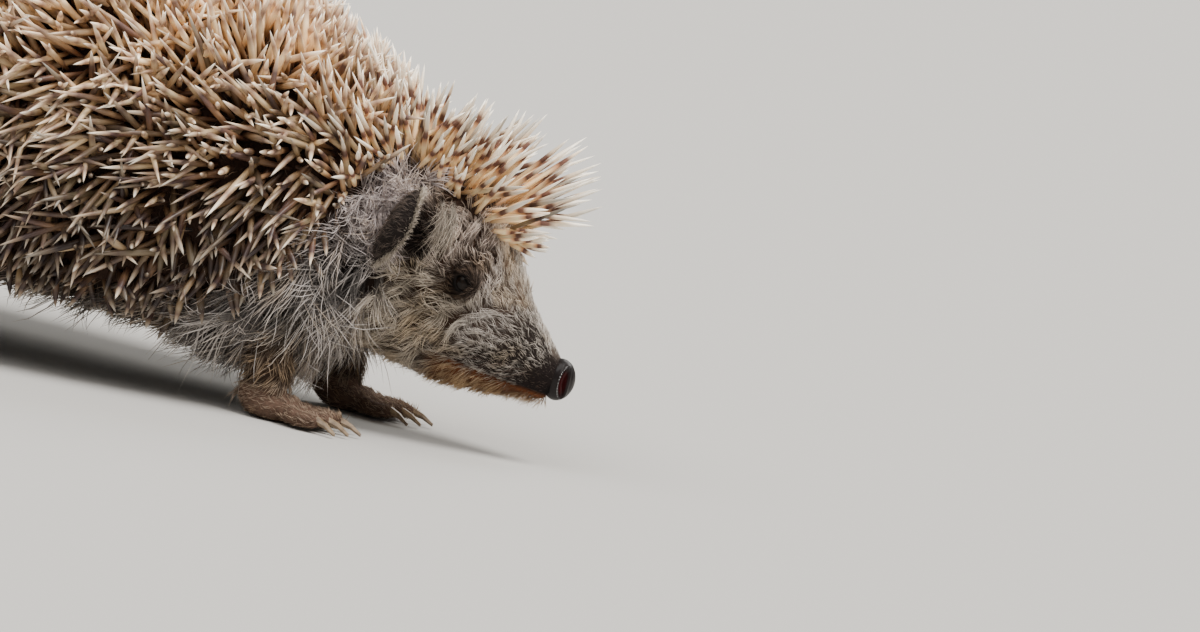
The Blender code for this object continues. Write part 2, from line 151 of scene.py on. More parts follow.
def with_modifiers(mesh: Mesh, *settings: tuple[str, dict], hidden: tuple[int, ...] = ()) -> Mesh:
    """Applies modifiers to a mesh.

    Args:
        mesh: The mesh to change.
        settings: For each modifier, its type and its values.
        hidden: The points that go into the group named hidden.

    Returns:
        A new mesh with the modifiers applied.
    """
    holder = add_object("holder", mesh)
    if hidden:
        holder.vertex_groups.new(name="hidden").add(hidden, 1.0, "REPLACE")
    for kind, values in settings:
        modifier = holder.modifiers.new(kind, kind)
        for key, value in values.items():
            setattr(modifier, key, value)
    bpy.context.view_layer.update()
    graph = bpy.context.evaluated_depsgraph_get()
    made = bpy.data.meshes.new_from_object(holder.evaluated_get(graph))
    bpy.data.objects.remove(holder)
    return made


def rows(items: bpy.types.bpy_prop_collection, key: str, kind: type = np.float32) -> np.ndarray:
    """Reads three numbers from each item of a mesh.

    Args:
        items: Its points, normals or triangles.
        key: The property to read.
        kind: The type that it is stored in.

    Returns:
        A row for each item.
    """
    flat = np.empty(len(items) * 3, kind)
    items.foreach_get(key, flat)
    return flat.reshape(-1, 3)


def positions(mesh: Mesh) -> np.ndarray:
    """A mesh's points, in millimetres."""
    return rows(mesh.vertices, "co").astype(float) / MM


def point_normals(mesh: Mesh) -> np.ndarray:
    """A mesh's normals at its points."""
    return rows(mesh.vertex_normals, "vector").astype(float)


def edge_points(mesh: Mesh, steps: int = 16) -> np.ndarray:
    """Points spread along all edges of a mesh.

    Args:
        mesh: The mesh.
        steps: How many points each edge gets.

    Returns:
        The points, in millimetres.
    """
    ends = np.array([edge.vertices for edge in mesh.edges])
    corners = positions(mesh)[ends]
    shares = np.linspace(0, 1, steps)[None, :, None]
    return (corners[:, :1] * (1 - shares) + corners[:, 1:] * shares).reshape(-1, 3)


def move_to(mesh: Mesh, points: np.ndarray) -> None:
    """Writes a mesh's points back from millimetres."""
    mesh.vertices.foreach_set("co", (points * MM).astype(np.float32).ravel())
    mesh.update()


def paint(mesh: Mesh, name: str, colours: np.ndarray) -> None:
    """Stores one colour for each point of a mesh.

    Args:
        mesh: The mesh.
        name: The attribute's name, which its material reads.
        colours: A row of three for each point.
    """
    layer = mesh.color_attributes.new(name, "FLOAT_COLOR", "POINT")
    rows = np.ones((len(mesh.vertices), 4), np.float32)
    rows[:, :3] = colours
    layer.data.foreach_set("color", rows.ravel())


# ------------------------------------------------------------------ finishes


@dataclass(frozen=True)
class Shader:
    """A material being made: its nodes, its links and its main shader."""

    material: bpy.types.Material
    main: bpy.types.Node

    @classmethod
    def named(cls, name: str, roughness: float, specular: float) -> "Shader":
        """Starts a material.

        Args:
            name: The material's name.
            roughness: How matt it is.
            specular: How strongly it reflects.

        Returns:
            The material with its main shader set.
        """
        material = bpy.data.materials.new(name)
        material.use_nodes = True
        main = material.node_tree.nodes["Principled BSDF"]
        main.inputs["Roughness"].default_value = roughness
        main.inputs["Specular IOR Level"].default_value = specular
        return cls(material, main)

    def node(self, kind: str, **values: object) -> bpy.types.Node:
        """Adds a node.

        Args:
            kind: The node's type.
            values: Its properties, or its inputs where no property has that name.

        Returns:
            The node.
        """
        made = self.material.node_tree.nodes.new(kind)
        for key, value in values.items():
            if hasattr(made, key):
                setattr(made, key, value)
            else:
                made.inputs[key.replace("_", " ").title()].default_value = value
        return made

    def link(self, source: Socket, target: Socket) -> None:
        """Joins an output to an input."""
        self.material.node_tree.links.new(source, target)

    def colour(self, colour: Socket) -> None:
        """Gives the main shader its colour."""
        self.link(colour, self.main.inputs["Base Color"])

    def place(self) -> Socket:
        """The Object coordinates."""
        return self.node("ShaderNodeTexCoord").outputs["Object"]

    def speckle(self, scale: float, detail: float = 3.0) -> Socket:
        """Noise read at the Object coordinates.

        Args:
            scale: How many features it has to the metre.
            detail: How many finer layers lie over them.

        Returns:
            A value from 0 to 1.
        """
        made = self.node("ShaderNodeTexNoise", scale=scale, detail=detail)
        self.link(self.place(), made.inputs["Vector"])
        return made.outputs["Fac"]

    def between(self, value: Socket, low: float, high: float) -> Socket:
        """Maps 0 to 1 onto another range.

        Args:
            value: What is mapped.
            low: What 0 becomes.
            high: What 1 becomes.

        Returns:
            The mapped value.
        """
        made = self.node("ShaderNodeMapRange", to_min=low, to_max=high)
        self.link(value, made.inputs["Value"])
        return made.outputs["Result"]

    def scaled(self, colour: Socket, factor: Socket) -> Socket:
        """Makes a colour lighter or darker.

        Args:
            colour: The colour.
            factor: Where it is 1, the colour stays.

        Returns:
            The new colour.
        """
        made = self.node("ShaderNodeVectorMath", operation="SCALE")
        self.link(colour, made.inputs[0])
        self.link(factor, made.inputs["Scale"])
        return made.outputs["Vector"]

    def attribute(self, name: str) -> Socket:
        """A colour stored on the mesh."""
        return self.node("ShaderNodeAttribute", attribute_name=name).outputs["Color"]

    def steps(self, value: Socket, stops: tuple) -> Socket:
        """Colours along a value.

        Args:
            value: The place along, from 0 to 1.
            stops: Places with their colours.

        Returns:
            The colour at the value.
        """
        made = self.node("ShaderNodeValToRGB")
        elements = made.color_ramp.elements
        while len(elements) < len(stops):
            elements.new(0.5)
        for element, (place, colour) in zip(elements, stops):
            element.position = place
            element.color = (*colour, 1.0)
        self.link(value, made.inputs["Fac"])
        return made.outputs["Color"]

    def bump(self, height: Socket, strength: float, depth: float) -> None:
        """Gives the main shader a bump.

        Args:
            height: The relief, from 0 to 1.
            strength: How much of it shows.
            depth: How deep it is, in millimetres.
        """
        made = self.node("ShaderNodeBump", strength=strength, distance=depth * MM)
        self.link(height, made.inputs["Height"])
        self.link(made.outputs["Normal"], self.main.inputs["Normal"])


@dataclass(frozen=True)
class SkinFinish:
    """Skin with flat underfur: painted markings, speckled, with a fine nap."""

    roughness: float = 0.85
    specular: float = 0.1
    nap_scale: float = 1500.0  # features to the metre
    nap_depth: float = 0.35
    nap_tones: tuple = (0.6, 1.35)  # how dark and how pale the nap makes the colour

    def material(self) -> bpy.types.Material:
        """Builds the material.

        Returns:
            The material.
        """
        shader = Shader.named("skin", self.roughness, self.specular)
        light = shader.between(shader.speckle(self.nap_scale), *self.nap_tones)
        tint = shader.scaled(shader.attribute("tint"), light)
        shader.colour(tint)
        shader.bump(shader.speckle(self.nap_scale, 5.0), 0.8, self.nap_depth)
        return shader.material


@dataclass(frozen=True)
class HairFinish:
    """Hair: painted from root to tip, with a soft gloss."""

    roughness: float = 0.6
    specular: float = 0.2

    def material(self) -> bpy.types.Material:
        """Builds the material.

        Returns:
            The material.
        """
        shader = Shader.named("hair", self.roughness, self.specular)
        shader.colour(shader.attribute("tint"))
        return shader.material


@dataclass(frozen=True)
class SpineFinish:
    """Keratin spines, banded along their length in three patterns that each spine picks from; the darkening
    at their roots is painted shade.
    """

    roughness: float = 0.42
    specular: float = 0.45
    tones: tuple = (0.28, 1.85)  # how dark and how pale a spine's tone makes its colours; the tone carries painted top light and shade
    # in every pattern the dark stops at the root are painted shade deep among the spines
    dusky: tuple = (
        (0.00, linear(44, 28, 22)),
        (0.22, linear(88, 60, 44)),
        (0.40, linear(140, 108, 80)),
        (0.56, linear(100, 74, 62)),
        (0.71, linear(80, 62, 60)),
        (0.81, linear(170, 144, 120)),
        (0.92, linear(224, 204, 180)),
        (1.00, linear(244, 232, 216)),
    )
    pale: tuple = (
        (0.00, linear(70, 46, 34)),
        (0.20, linear(134, 100, 70)),
        (0.42, linear(202, 172, 130)),
        (0.60, linear(222, 198, 160)),
        (0.73, linear(154, 124, 104)),
        (0.83, linear(212, 188, 158)),
        (1.00, linear(248, 238, 220)),
    )
    crown: tuple = (
        (0.00, linear(120, 88, 64)),
        (0.28, linear(214, 182, 140)),
        (0.52, linear(230, 206, 164)),
        (0.62, linear(176, 132, 98)),
        (0.66, linear(84, 54, 44)),
        (0.73, linear(104, 74, 62)),
        (0.80, linear(214, 194, 168)),
        (1.00, linear(244, 236, 220)),
    )

    def material(self) -> bpy.types.Material:
        """Builds the material. The spine attribute holds the place along, a tone that carries painted top
        light and shade, and the pattern.

        Returns:
            The material.
        """
        shader = Shader.named("spine_keratin", self.roughness, self.specular)
        parts = shader.node("ShaderNodeSeparateColor")
        shader.link(shader.attribute("spine"), parts.inputs["Color"])
        along, tone, pattern = parts.outputs
        body = self.mixed(shader, shader.between(pattern, 0.0, 2.0), along, self.dusky, self.pale)
        last = shader.between(pattern, -1.0, 1.0)
        colour = self.mixed(shader, last, along, body, self.crown)
        colour = shader.scaled(colour, shader.between(tone, *self.tones))
        shader.colour(colour)
        return shader.material

    def mixed(self, shader: Shader, share: Socket, along: Socket,
              first: tuple | Socket, second: tuple) -> Socket:
        """Blends two patterns along the spine.

        Args:
            shader: The material being made.
            share: How much the second pattern has.
            along: The place along the spine.
            first: The first pattern's stops, or its colour.
            second: The second pattern's stops.

        Returns:
            The blended colour.
        """
        mix = shader.node("ShaderNodeMix", data_type="RGBA")
        shader.link(share, mix.inputs[0])
        shader.link(shader.steps(along, first) if isinstance(first, tuple) else first, mix.inputs[6])
        shader.link(shader.steps(along, second), mix.inputs[7])
        return mix.outputs[2]


@dataclass(frozen=True)
class NoseFinish:
    """Wet black nose skin, finely pebbled."""

    roughness: float = 0.42
    specular: float = 0.12
    wetness: float = 0.22
    wet_roughness: float = 0.12
    grain: float = 900.0  # features to the metre
    pebble_scale: float = 2600.0

    def material(self) -> bpy.types.Material:
        """Builds the material.

        Returns:
            The material.
        """
        shader = Shader.named("nose_leather", self.roughness, self.specular)
        shader.main.inputs["Coat Weight"].default_value = self.wetness
        shader.main.inputs["Coat Roughness"].default_value = self.wet_roughness
        tone = shader.between(shader.speckle(self.grain), 0.6, 1.5)
        shader.colour(shader.scaled(shader.attribute("tint"), tone))
        pebbles = shader.node("ShaderNodeTexVoronoi", scale=self.pebble_scale)
        shader.link(shader.place(), pebbles.inputs["Vector"])
        shader.bump(pebbles.outputs["Distance"], 0.4, 0.1)
        return shader.material


@dataclass(frozen=True)
class EyeFinish:
    """A wet black eye with a hint of brown."""

    roughness: float = 0.22
    specular: float = 0.16
    grain: float = 600.0  # features to the metre
    stops: tuple = ((0.3, linear(10, 7, 6)), (0.7, linear(30, 21, 15)))

    def material(self) -> bpy.types.Material:
        """Builds the material.

        Returns:
            The material.
        """
        shader = Shader.named("eye_black", self.roughness, self.specular)
        colour = shader.steps(shader.speckle(self.grain), self.stops)
        shader.colour(colour)
        return shader.material


@dataclass(frozen=True)
class HornFinish:
    """Horn of the claws: brown-grey, streaked and semi-gloss."""

    roughness: float = 0.35
    specular: float = 0.5
    grain: float = 450.0  # features to the metre
    relief: float = 1800.0
    stops: tuple = ((0.3, linear(92, 74, 56)), (0.7, linear(158, 136, 108)))

    def material(self) -> bpy.types.Material:
        """Builds the material.

        Returns:
            The material.
        """
        shader = Shader.named("claw_horn", self.roughness, self.specular)
        colour = shader.steps(shader.speckle(self.grain), self.stops)
        shader.colour(colour)
        shader.bump(shader.speckle(self.relief), 0.4, 0.08)
        return shader.material


@dataclass(frozen=True)
class FloorFinish:
    """A plain pale studio floor."""

    colour: Colour = linear(190, 188, 184)

    def material(self) -> bpy.types.Material:
        """Builds the material.

        Returns:
            The material.
        """
        shader = Shader.named("floor", 0.9, 0.1)
        shader.main.inputs["Base Color"].default_value = (*self.colour, 1.0)
        return shader.material


# ------------------------------------------------------------------ the body's plan


@dataclass(frozen=True)
class Pelt:
    """How the coat grows in one region."""

    root: Colour
    tip: Colour
    length: float
    width: float
    density: float  # hairs to the square millimetre
    lean: float  # degrees from standing straight up
    scatter: float  # degrees that hairs stray from the common lie
    droop: float  # how far the lie turns from backwards to downwards
    depth: float  # from the solid's surface down to the skin
    lock: float  # between neighbouring locks
    curl: float  # how far a hair bends aside, as a share of its length
    pale: float  # the share of hairs that are long and pale, among shorter dark ones


class Region(Enum):
    """The regions of the coat; each covers the ones before it. The numbers are in Pelt's order."""

    # FLANK: the dark roots and the few pale hairs are partly painted shade below the spines' edge
    FLANK = Pelt(
        linear(20, 15, 12), linear(250, 240, 232), 22.5, 0.26, 2.2, 62, 30, 0.2, 4.5, 2.6, 0.28, 0.22)
    BELLY = Pelt(
        linear(66, 52, 42), linear(172, 154, 132), 9.0, 0.25, 0.5, 66, 26, 0.1, 3.2, 2.5, 0.2, 0.45)
    # RUFF: the dark roots and the few pale hairs are partly painted shade beneath the head
    RUFF = Pelt(
        linear(20, 15, 13), linear(240, 231, 225), 17.5, 0.24, 2.4, 58, 44, 0.7, 4.5, 2.2, 0.36, 0.15)
    NAPE = Pelt(
        linear(76, 63, 59), linear(255, 243, 240), 11.0, 0.245, 4.0, 48, 70, 0.2, 3.2, 1.7, 0.45, 0.82)
    THROAT = Pelt(
        linear(104, 80, 58), linear(210, 186, 152), 6.5, 0.17, 2.4, 64, 24, 0.3, 2.6, 2.0, 0.15, 0.5)
    CHEEK = Pelt(
        linear(58, 43, 33), linear(255, 240, 219), 7.0, 0.165, 6.0, 62, 40, 0.35, 2.0, 1.9, 0.26, 0.56)
    TEMPLE = Pelt(
        linear(66, 49, 40), linear(255, 236, 221), 6.0, 0.165, 5.8, 42, 30, -0.5, 1.8, 1.8, 0.24, 0.46)
    FACE = Pelt(
        linear(76, 64, 57), linear(252, 242, 232), 4.0, 0.125, 9.0, 66, 24, 0.2, 1.4, 1.5, 0.18, 0.66)
    # BROW: the pale roots and the many pale hairs along the profile are partly painted backlight
    BROW = Pelt(
        linear(160, 136, 116), linear(255, 240, 218), 7.5, 0.15, 6.6, 50, 22, -0.2, 1.8, 1.7, 0.16, 0.88)
    MUZZLE = Pelt(
        linear(33, 27, 24), linear(222, 212, 200), 2.3, 0.12, 9.5, 72, 24, 0.15, 0.8, 0.8, 0.2, 0.42)
    # BRIDGE: the pale strip along the top of the muzzle is partly a painted sheen of light from above
    BRIDGE = Pelt(
        linear(112, 99, 88), linear(250, 243, 232), 2.5, 0.125, 9.0, 70, 20, 0.0, 0.9, 0.8, 0.14, 0.6)
    NOSE_RIM = Pelt(
        linear(27, 21, 20), linear(92, 80, 74), 1.4, 0.105, 7.5, 76, 20, 0.15, 0.8, 0.8, 0.15, 0.3)
    CHIN = Pelt(
        linear(96, 58, 36), linear(206, 178, 140), 4.2, 0.13, 4.6, 56, 26, 1.0, 1.0, 1.4, 0.22, 0.55)
    EYE_RING = Pelt(
        linear(30, 23, 19), linear(104, 86, 73), 2.6, 0.115, 9.0, 68, 22, 0.1, 0.9, 0.9, 0.12, 0.3)
    EAR_SHADE = Pelt(
        linear(20, 15, 13), linear(72, 60, 52), 3.4, 0.17, 4.6, 56, 40, 0.4, 2.0, 1.8, 0.25, 0.35)
    # EAR: the dark colours are partly the ear's own dark hair and skin, partly painted shade
    EAR = Pelt(
        linear(32, 27, 25), linear(106, 93, 84), 2.1, 0.10, 6.5, 58, 30, 0.2, 0.4, 1.1, 0.16, 0.35)
    LEG = Pelt(
        linear(60, 47, 38), linear(182, 162, 140), 5.5, 0.19, 3.0, 60, 26, 0.9, 1.2, 1.8, 0.18, 0.42)
    FOOT = Pelt(
        linear(88, 69, 58), linear(176, 154, 132), 1.8, 0.12, 4.2, 68, 22, 0.0, 0.35, 0.9, 0.1, 0.5)
    TAIL = Pelt(
        linear(50, 40, 32), linear(130, 112, 92), 2.6, 0.16, 2.0, 66, 22, 0.2, 0.8, 1.5, 0.1, 0.4)
    # UNDER_SPINES: the dark root colour, which also paints the skin, is painted shade in the gaps between
    # the spines
    UNDER_SPINES = Pelt(
        linear(48, 34, 27), linear(176, 152, 130), 8.0, 0.2, 0.1, 40, 40, 0.2, 1.2, 4.0, 0.2, 0.4)


def place_of(region: Region) -> int:
    """The column that a region's shares stand in."""
    return list(Region).index(region)


def column(name: str) -> np.ndarray:
    """One value of every region's pelt, in the order of the regions."""
    return np.array([getattr(region.value, name) for region in Region], float)


@dataclass
class BodyPlan:
    """Where things are on the animal, read from the solids. All in millimetres."""

    pitch: float = math.radians(27.0)  # that the head points below the horizontal
    eye_behind: float = 33.0  # the eye's centre, behind the nose tip
    eye_over: float = 3.8  # and over the head's axis
    eye_radius: float = 3.0
    mouth_corner: float = 24.0  # behind the nose tip
    forward: np.ndarray = field(init=False)  # along the head's axis
    above: np.ndarray = field(init=False)
    eye: np.ndarray = field(init=False)  # the left one's centre
    nose: np.ndarray = field(init=False)  # the nose tip
    ear: np.ndarray = field(init=False)  # the left one's middle
    ear_height: float = field(init=False)
    soles: list = field(init=False)  # the boxes of the feet
    rump_x: float = field(init=False)
    edge_x: np.ndarray = field(init=False)  # the lower edge of the spines, from rear to front
    edge_z: np.ndarray = field(init=False)

    def __post_init__(self) -> None:
        """Reads the eyes, the nose tip, the ears and the spine edge from the solids."""
        self.forward = np.array([math.cos(self.pitch), 0.0, -math.sin(self.pitch)])
        self.above = np.array([math.sin(self.pitch), 0.0, math.cos(self.pitch)])
        eye_low, eye_high = box_mm("eye_left")
        self.eye = (eye_low + eye_high) / 2
        self.nose = self.eye * (1, 0, 1) + self.forward * self.eye_behind - self.above * self.eye_over
        ear_low, ear_high = box_mm("ear_left")
        self.ear = (ear_low + ear_high) / 2 + (-0.5, -0.7, 0.0)
        self.ear_height = ear_high[2] - ear_low[2]
        self.soles = [box_mm("foot_" + limb) for limb in LIMB_NAMES]
        self.rump_x = box_mm("back")[0][0]
        rim = np.vstack([edge_points(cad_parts[name].data) for name in ("back", "crown")])
        grid = np.arange(rim[:, 0].min() + 2, rim[:, 0].max(), 2.0)
        lowest = [rim[np.abs(rim[:, 0] - x) < 2.5, 2].min() for x in grid]
        self.edge_x = grid[1:-1]
        self.edge_z = np.convolve(lowest, np.ones(3) / 3, "valid")

    def spine_edge(self, x: np.ndarray) -> np.ndarray:
        """The height of the spine edge at X."""
        return np.interp(x, self.edge_x, self.edge_z)

    def over_edge(self, points: np.ndarray) -> np.ndarray:
        """How far points lie over the lowest roots of the spines.

        Args:
            points: Rows of X, Y and Z in millimetres.

        Returns:
            Millimetres, below 0 under the edge.
        """
        x, y, z = points.T
        raised = 3.5 * ramp(30, 46, x) * ramp(72, 64, x) + 1.6 * ramp(66, 74, x) * ramp(98, 88, x)
        return z - self.spine_edge(x) - raised * ramp(13, 20, np.abs(y))

    def bare(self, points: np.ndarray) -> np.ndarray:
        """1 where the skin is bare and black: around the nose pad and on the lids.

        Args:
            points: Rows of X, Y and Z in millimetres.

        Returns:
            A share from 0 to 1 for each point.
        """
        behind, over = self.on_head(points)
        pad = ramp(0.8, -0.2, behind - (3.2 - 0.14 * over)) * ramp(-7.0, -5.0, over)
        lids = ramp(2.3, 1.9, self.from_eye(points))
        return np.maximum(pad, lids)

    def in_ear(self, points: np.ndarray, normals: np.ndarray) -> np.ndarray:
        """1 on the inner side of the ears, where the skin faces the middle of its cup.

        Args:
            points: Rows of X, Y and Z in millimetres.
            normals: The skin's normals there.

        Returns:
            A share from 0 to 1 for each point.
        """
        mirror = np.stack([np.ones(len(points)), np.sign(points[:, 1]), np.ones(len(points))], 1)
        away = self.ear * mirror - points
        near = (np.linalg.norm(away, axis=1) < 11.5) & (np.abs(points[:, 1]) > self.ear[1] - 5.0)
        return ramp(0.0, 0.5, np.sum(unit(away) * normals, axis=1)) * near

    def from_eye(self, points: np.ndarray) -> np.ndarray:
        """How far points lie from the nearer eye, seen from the side.

        Args:
            points: Rows of X, Y and Z in millimetres.

        Returns:
            Millimetres; points near the middle of the face count as far away.
        """
        behind, over = self.on_head(points)
        inner = 20.0 * ramp(8, 5, np.abs(points[:, 1]))
        return np.hypot(behind - self.eye_behind, over - self.eye_over) + inner

    def on_head(self, points: np.ndarray) -> tuple[np.ndarray, np.ndarray]:
        """How far points lie behind the nose tip, and above the head's axis."""
        away = points - self.nose
        return -away @ self.forward, away @ self.above

    def head_point(self, behind: float, over: float, aside: float = 0.0) -> np.ndarray:
        """The point so far behind the nose tip, over the head's axis and to the left."""
        return self.nose - self.forward * behind + self.above * over + np.array([0.0, aside, 0.0])

    def mouth_line(self, behind: np.ndarray) -> np.ndarray:
        """The height of the mouth over the head's axis, behind the nose tip."""
        return -4.9 - 0.36 * behind + 0.0024 * behind**2

    def weights(self, points: np.ndarray) -> np.ndarray:
        """How much each region has of each point.

        Args:
            points: Rows of X, Y and Z in millimetres.

        Returns:
            A row for each point, one column for each region, adding up to 1.
        """
        x, y, z = points.T
        side = np.abs(y)
        behind, over = self.on_head(points)
        from_ear = np.stack([x, side, z], 1) - self.ear
        ear_gap = np.linalg.norm(from_ear, axis=1)
        shade_gap = np.linalg.norm(from_ear + (0.0, -2.3, 8.4), axis=1)
        hollow_gap = np.linalg.norm((from_ear - (5.6, -2.0, -2.0)) * (0.8, 0.6, 0.55), axis=1)
        shade_gap = np.minimum(shade_gap, hollow_gap + 2.0)
        skull_top = 0.55 * behind
        off_mouth = over - self.mouth_line(behind)
        # each ramp runs from where its region is absent to where it is full, in millimetres
        masks = {
            Region.BELLY: ramp(31, 22, side) * ramp(28, 20, z) * ramp(44, 34, x),
            Region.RUFF: ramp(30, 42, x),
            Region.NAPE: ramp(38, 48, z) * ramp(44, 52, x),
            Region.THROAT: ramp(50, 42, behind) * ramp(18, 12, side) * ramp(24, 19, z),
            Region.CHEEK: ramp(51, 44, behind) * ramp(-23, -19, over),
            Region.TEMPLE: ramp(55, 50, behind) * ramp(0, 5, over),
            Region.FACE: ramp(36, 28, behind + side * 0.35),
            # the brow hugs the top of the profile, where its pale colours paint part of the backlight
            Region.BROW: ramp(13, 8, side) * ramp(17, 22, behind) * ramp(-6, -3, over - skull_top),
            Region.MUZZLE: ramp(25, 14, behind - 7 * ramp(9, 2, off_mouth)),
            # the bridge is a narrow strip on the muzzle's top, partly painted sheen
            Region.BRIDGE: ramp(5, 2.5, side) * ramp(2, 6, behind) * ramp(-1, 1.5, over - 0.45 * behind + 1),
            Region.NOSE_RIM: ramp(9.4, 5.6, behind + 0.3 * over),
            Region.CHIN: ramp(0.6, -0.8, off_mouth) * ramp(31, 25, behind),
            Region.EYE_RING: ramp(5.8, 2.6, self.from_eye(points)),
            Region.EAR_SHADE: ramp(9.0, 6.0, shade_gap),
            Region.EAR: ramp(12, 10, ear_gap) * ramp(self.ear[1] - 5.5, self.ear[1] - 3.0, side),
            Region.LEG: self.near_soles(points, 2.0) * ramp(22, 18, z),
            Region.TAIL: ramp(8, 5, side) * ramp(self.rump_x + 16, self.rump_x + 13, x) * ramp(29, 27, z),
            Region.FOOT: self.near_soles(points, 3.0) * ramp(9, 7, z),
            Region.UNDER_SPINES: ramp(-1.5, 1.5, self.over_edge(points)) * ramp(108, 104, x),
        }
        shares = np.zeros((len(points), len(Region)))
        shares[:, place_of(Region.FLANK)] = 1.0
        for region, mask in masks.items():
            shares *= 1.0 - mask[:, None]
            shares[:, place_of(region)] += mask
        return shares

    def near_soles(self, points: np.ndarray, margin: float) -> np.ndarray:
        """1 over any foot, seen from above, and 0 beyond the margin.

        Args:
            points: Rows of X, Y and Z in millimetres.
            margin: How far out the share falls to 0, in millimetres.

        Returns:
            A share from 0 to 1 for each point.
        """
        nearest = np.zeros(len(points))
        for low, high in self.soles:
            out = np.maximum(low[:2] - points[:, :2], points[:, :2] - high[:2]).max(axis=1)
            nearest = np.maximum(nearest, ramp(margin, 0.0, out))
        return nearest

    def lie(self, points: np.ndarray, normals: np.ndarray, droop: np.ndarray) -> np.ndarray:
        """The common direction of the hairs along the skin: backwards, and down by the droop.

        Args:
            points: Rows of X, Y and Z in millimetres.
            normals: The skin's normals there.
            droop: How far the lie turns downwards, for each point.

        Returns:
            Directions of length 1.
        """
        behind, _ = self.on_head(points)
        headward = ramp(56, 40, behind)[:, None]
        back = -self.forward * headward + np.array([-1.0, 0.0, 0.0]) * (1 - headward)
        flow = back + np.outer(droop, [0.0, 0.0, -1.0])
        flow -= normals * np.sum(flow * normals, axis=1, keepdims=True)
        return unit(flow)

    def unwrap(self, points: np.ndarray) -> np.ndarray:
        """Where points lie on the skin when it is slit along the belly and laid flat.

        Args:
            points: Rows of X, Y and Z in millimetres.

        Returns:
            Rows of U and V, from 0 to 1.
        """
        x, y, z = points.T
        axis = np.interp(x, [-110, -80, 40, 70, 118], [40, 50, 42, 38, 20])
        along = (x - self.rump_x) / (self.nose[0] - self.rump_x)
        round_it = np.arctan2(y, z - axis) / (2 * math.pi) + 0.5
        return np.stack([0.02 + 0.95 * along, 0.02 + 0.95 * round_it], 1)


# ------------------------------------------------------------------ skin and hard parts


@dataclass
class Ear:
    """A cupped ear, open to the front and the side."""

    plan: BodyPlan
    side: int
    width: float = 15.6
    cup: float = 2.8
    wall: float = 1.2
    outward: float = -8.0
    lean: float = 21.0
    fold: float = 1.6  # how far the outer edge rolls forwards, as a share of the cup

    def matrix(self) -> Matrix:
        """The turn and place that bring a unit ear into the animal, without its size.

        Returns:
            The matrix, in metres.
        """
        place = Matrix.Translation(Vector(self.plan.ear * (1, self.side, 1)) * MM)
        lean = Matrix.Rotation(math.radians(self.lean), 4, "Y")
        turn = Matrix.Rotation(math.radians(self.outward * self.side), 4, "Z")
        return place @ lean @ turn

    def size(self) -> Matrix:
        """The scale from a unit sphere to the ear's outer shape."""
        radii = (self.cup, self.width / 2, self.plan.ear_height / 2)
        return Matrix.Diagonal((*(radius * MM for radius in radii), 1.0))

    def add_to(self, bm: BMesh) -> None:
        """Adds the pinna as a closed wall.

        Args:
            bm: The mesh that the ear is added to.
        """
        cup = bmesh.new()
        bmesh.ops.create_uvsphere(cup, u_segments=48, v_segments=32, radius=1.0)
        everything = cup.verts[:] + cup.edges[:] + cup.faces[:]
        bmesh.ops.bisect_plane(
            cup, geom=everything, plane_co=(0.12, 0, 0), plane_no=(1, 0, 0), clear_outer=True
        )
        for vert in cup.verts:
            vert.co = self.folded(vert.co)
        bmesh.ops.transform(cup, matrix=self.matrix() @ self.size(), verts=cup.verts)
        bmesh.ops.recalc_face_normals(cup, faces=cup.faces)
        bmesh.ops.solidify(cup, geom=cup.faces[:], thickness=self.wall * MM)
        add_mesh(bm, cup)

    def folded(self, point: Vector) -> Vector:
        """Rolls the cup's outer edge forwards and narrows its top.

        Args:
            point: A point of the unit cup.

        Returns:
            Where it goes.
        """
        x, y, z = point
        outer = max(0.0, y * self.side)
        flare = max(0.0, x + 0.35)
        narrow = 1.0 - 0.16 * max(0.0, z) ** 2 - 0.10 * max(0.0, -z)
        roll = self.fold * flare * outer**2 * (1.0 - 0.55 * z * z)
        return Vector((x + roll, y * narrow * (1.0 + 0.10 * flare - 0.22 * roll), z * (1.0 + 0.05 * flare)))

    def rim(self, turn: float, depth: float = 0.12) -> tuple[np.ndarray, np.ndarray]:
        """A point of the rim and the way outwards there.

        Args:
            turn: The angle round the rim, 0 at the rear edge and a quarter turn at the top.
            depth: How far towards the opening, as a share of the cup.

        Returns:
            The point in millimetres and the outward direction.
        """
        edge = Vector((depth, math.cos(turn) * self.side, math.sin(turn)))
        place = self.matrix() @ self.size() @ self.folded(edge)
        outwards = self.matrix().to_3x3() @ Vector((0.4, edge.y, edge.z)).normalized()
        return np.array(place) / MM, np.array(outwards)


def add_mesh(bm: BMesh, other: BMesh) -> None:
    """Adds a second bmesh's faces to a first one, and frees the second.

    Args:
        bm: The mesh that grows.
        other: The mesh that is added.
    """
    holder = made_mesh("holder", other)
    bm.from_mesh(holder)
    bpy.data.meshes.remove(holder)


def add_ball(bm: BMesh, centre: np.ndarray, radii: tuple, turn: Matrix | None = None) -> None:
    """Adds an ellipsoid to a bmesh.

    Args:
        bm: The mesh that grows.
        centre: Its middle, in millimetres.
        radii: Its three radii, in millimetres.
        turn: How it is turned, if at all.
    """
    matrix = Matrix.Translation(Vector(centre) * MM) @ (turn or Matrix.Identity(4))
    matrix = matrix @ Matrix.Diagonal((*(Vector(radii) * MM), 1.0))
    ball = bmesh.new()
    bmesh.ops.create_uvsphere(ball, u_segments=28, v_segments=18, radius=1.0, matrix=matrix)
    add_mesh(bm, ball)


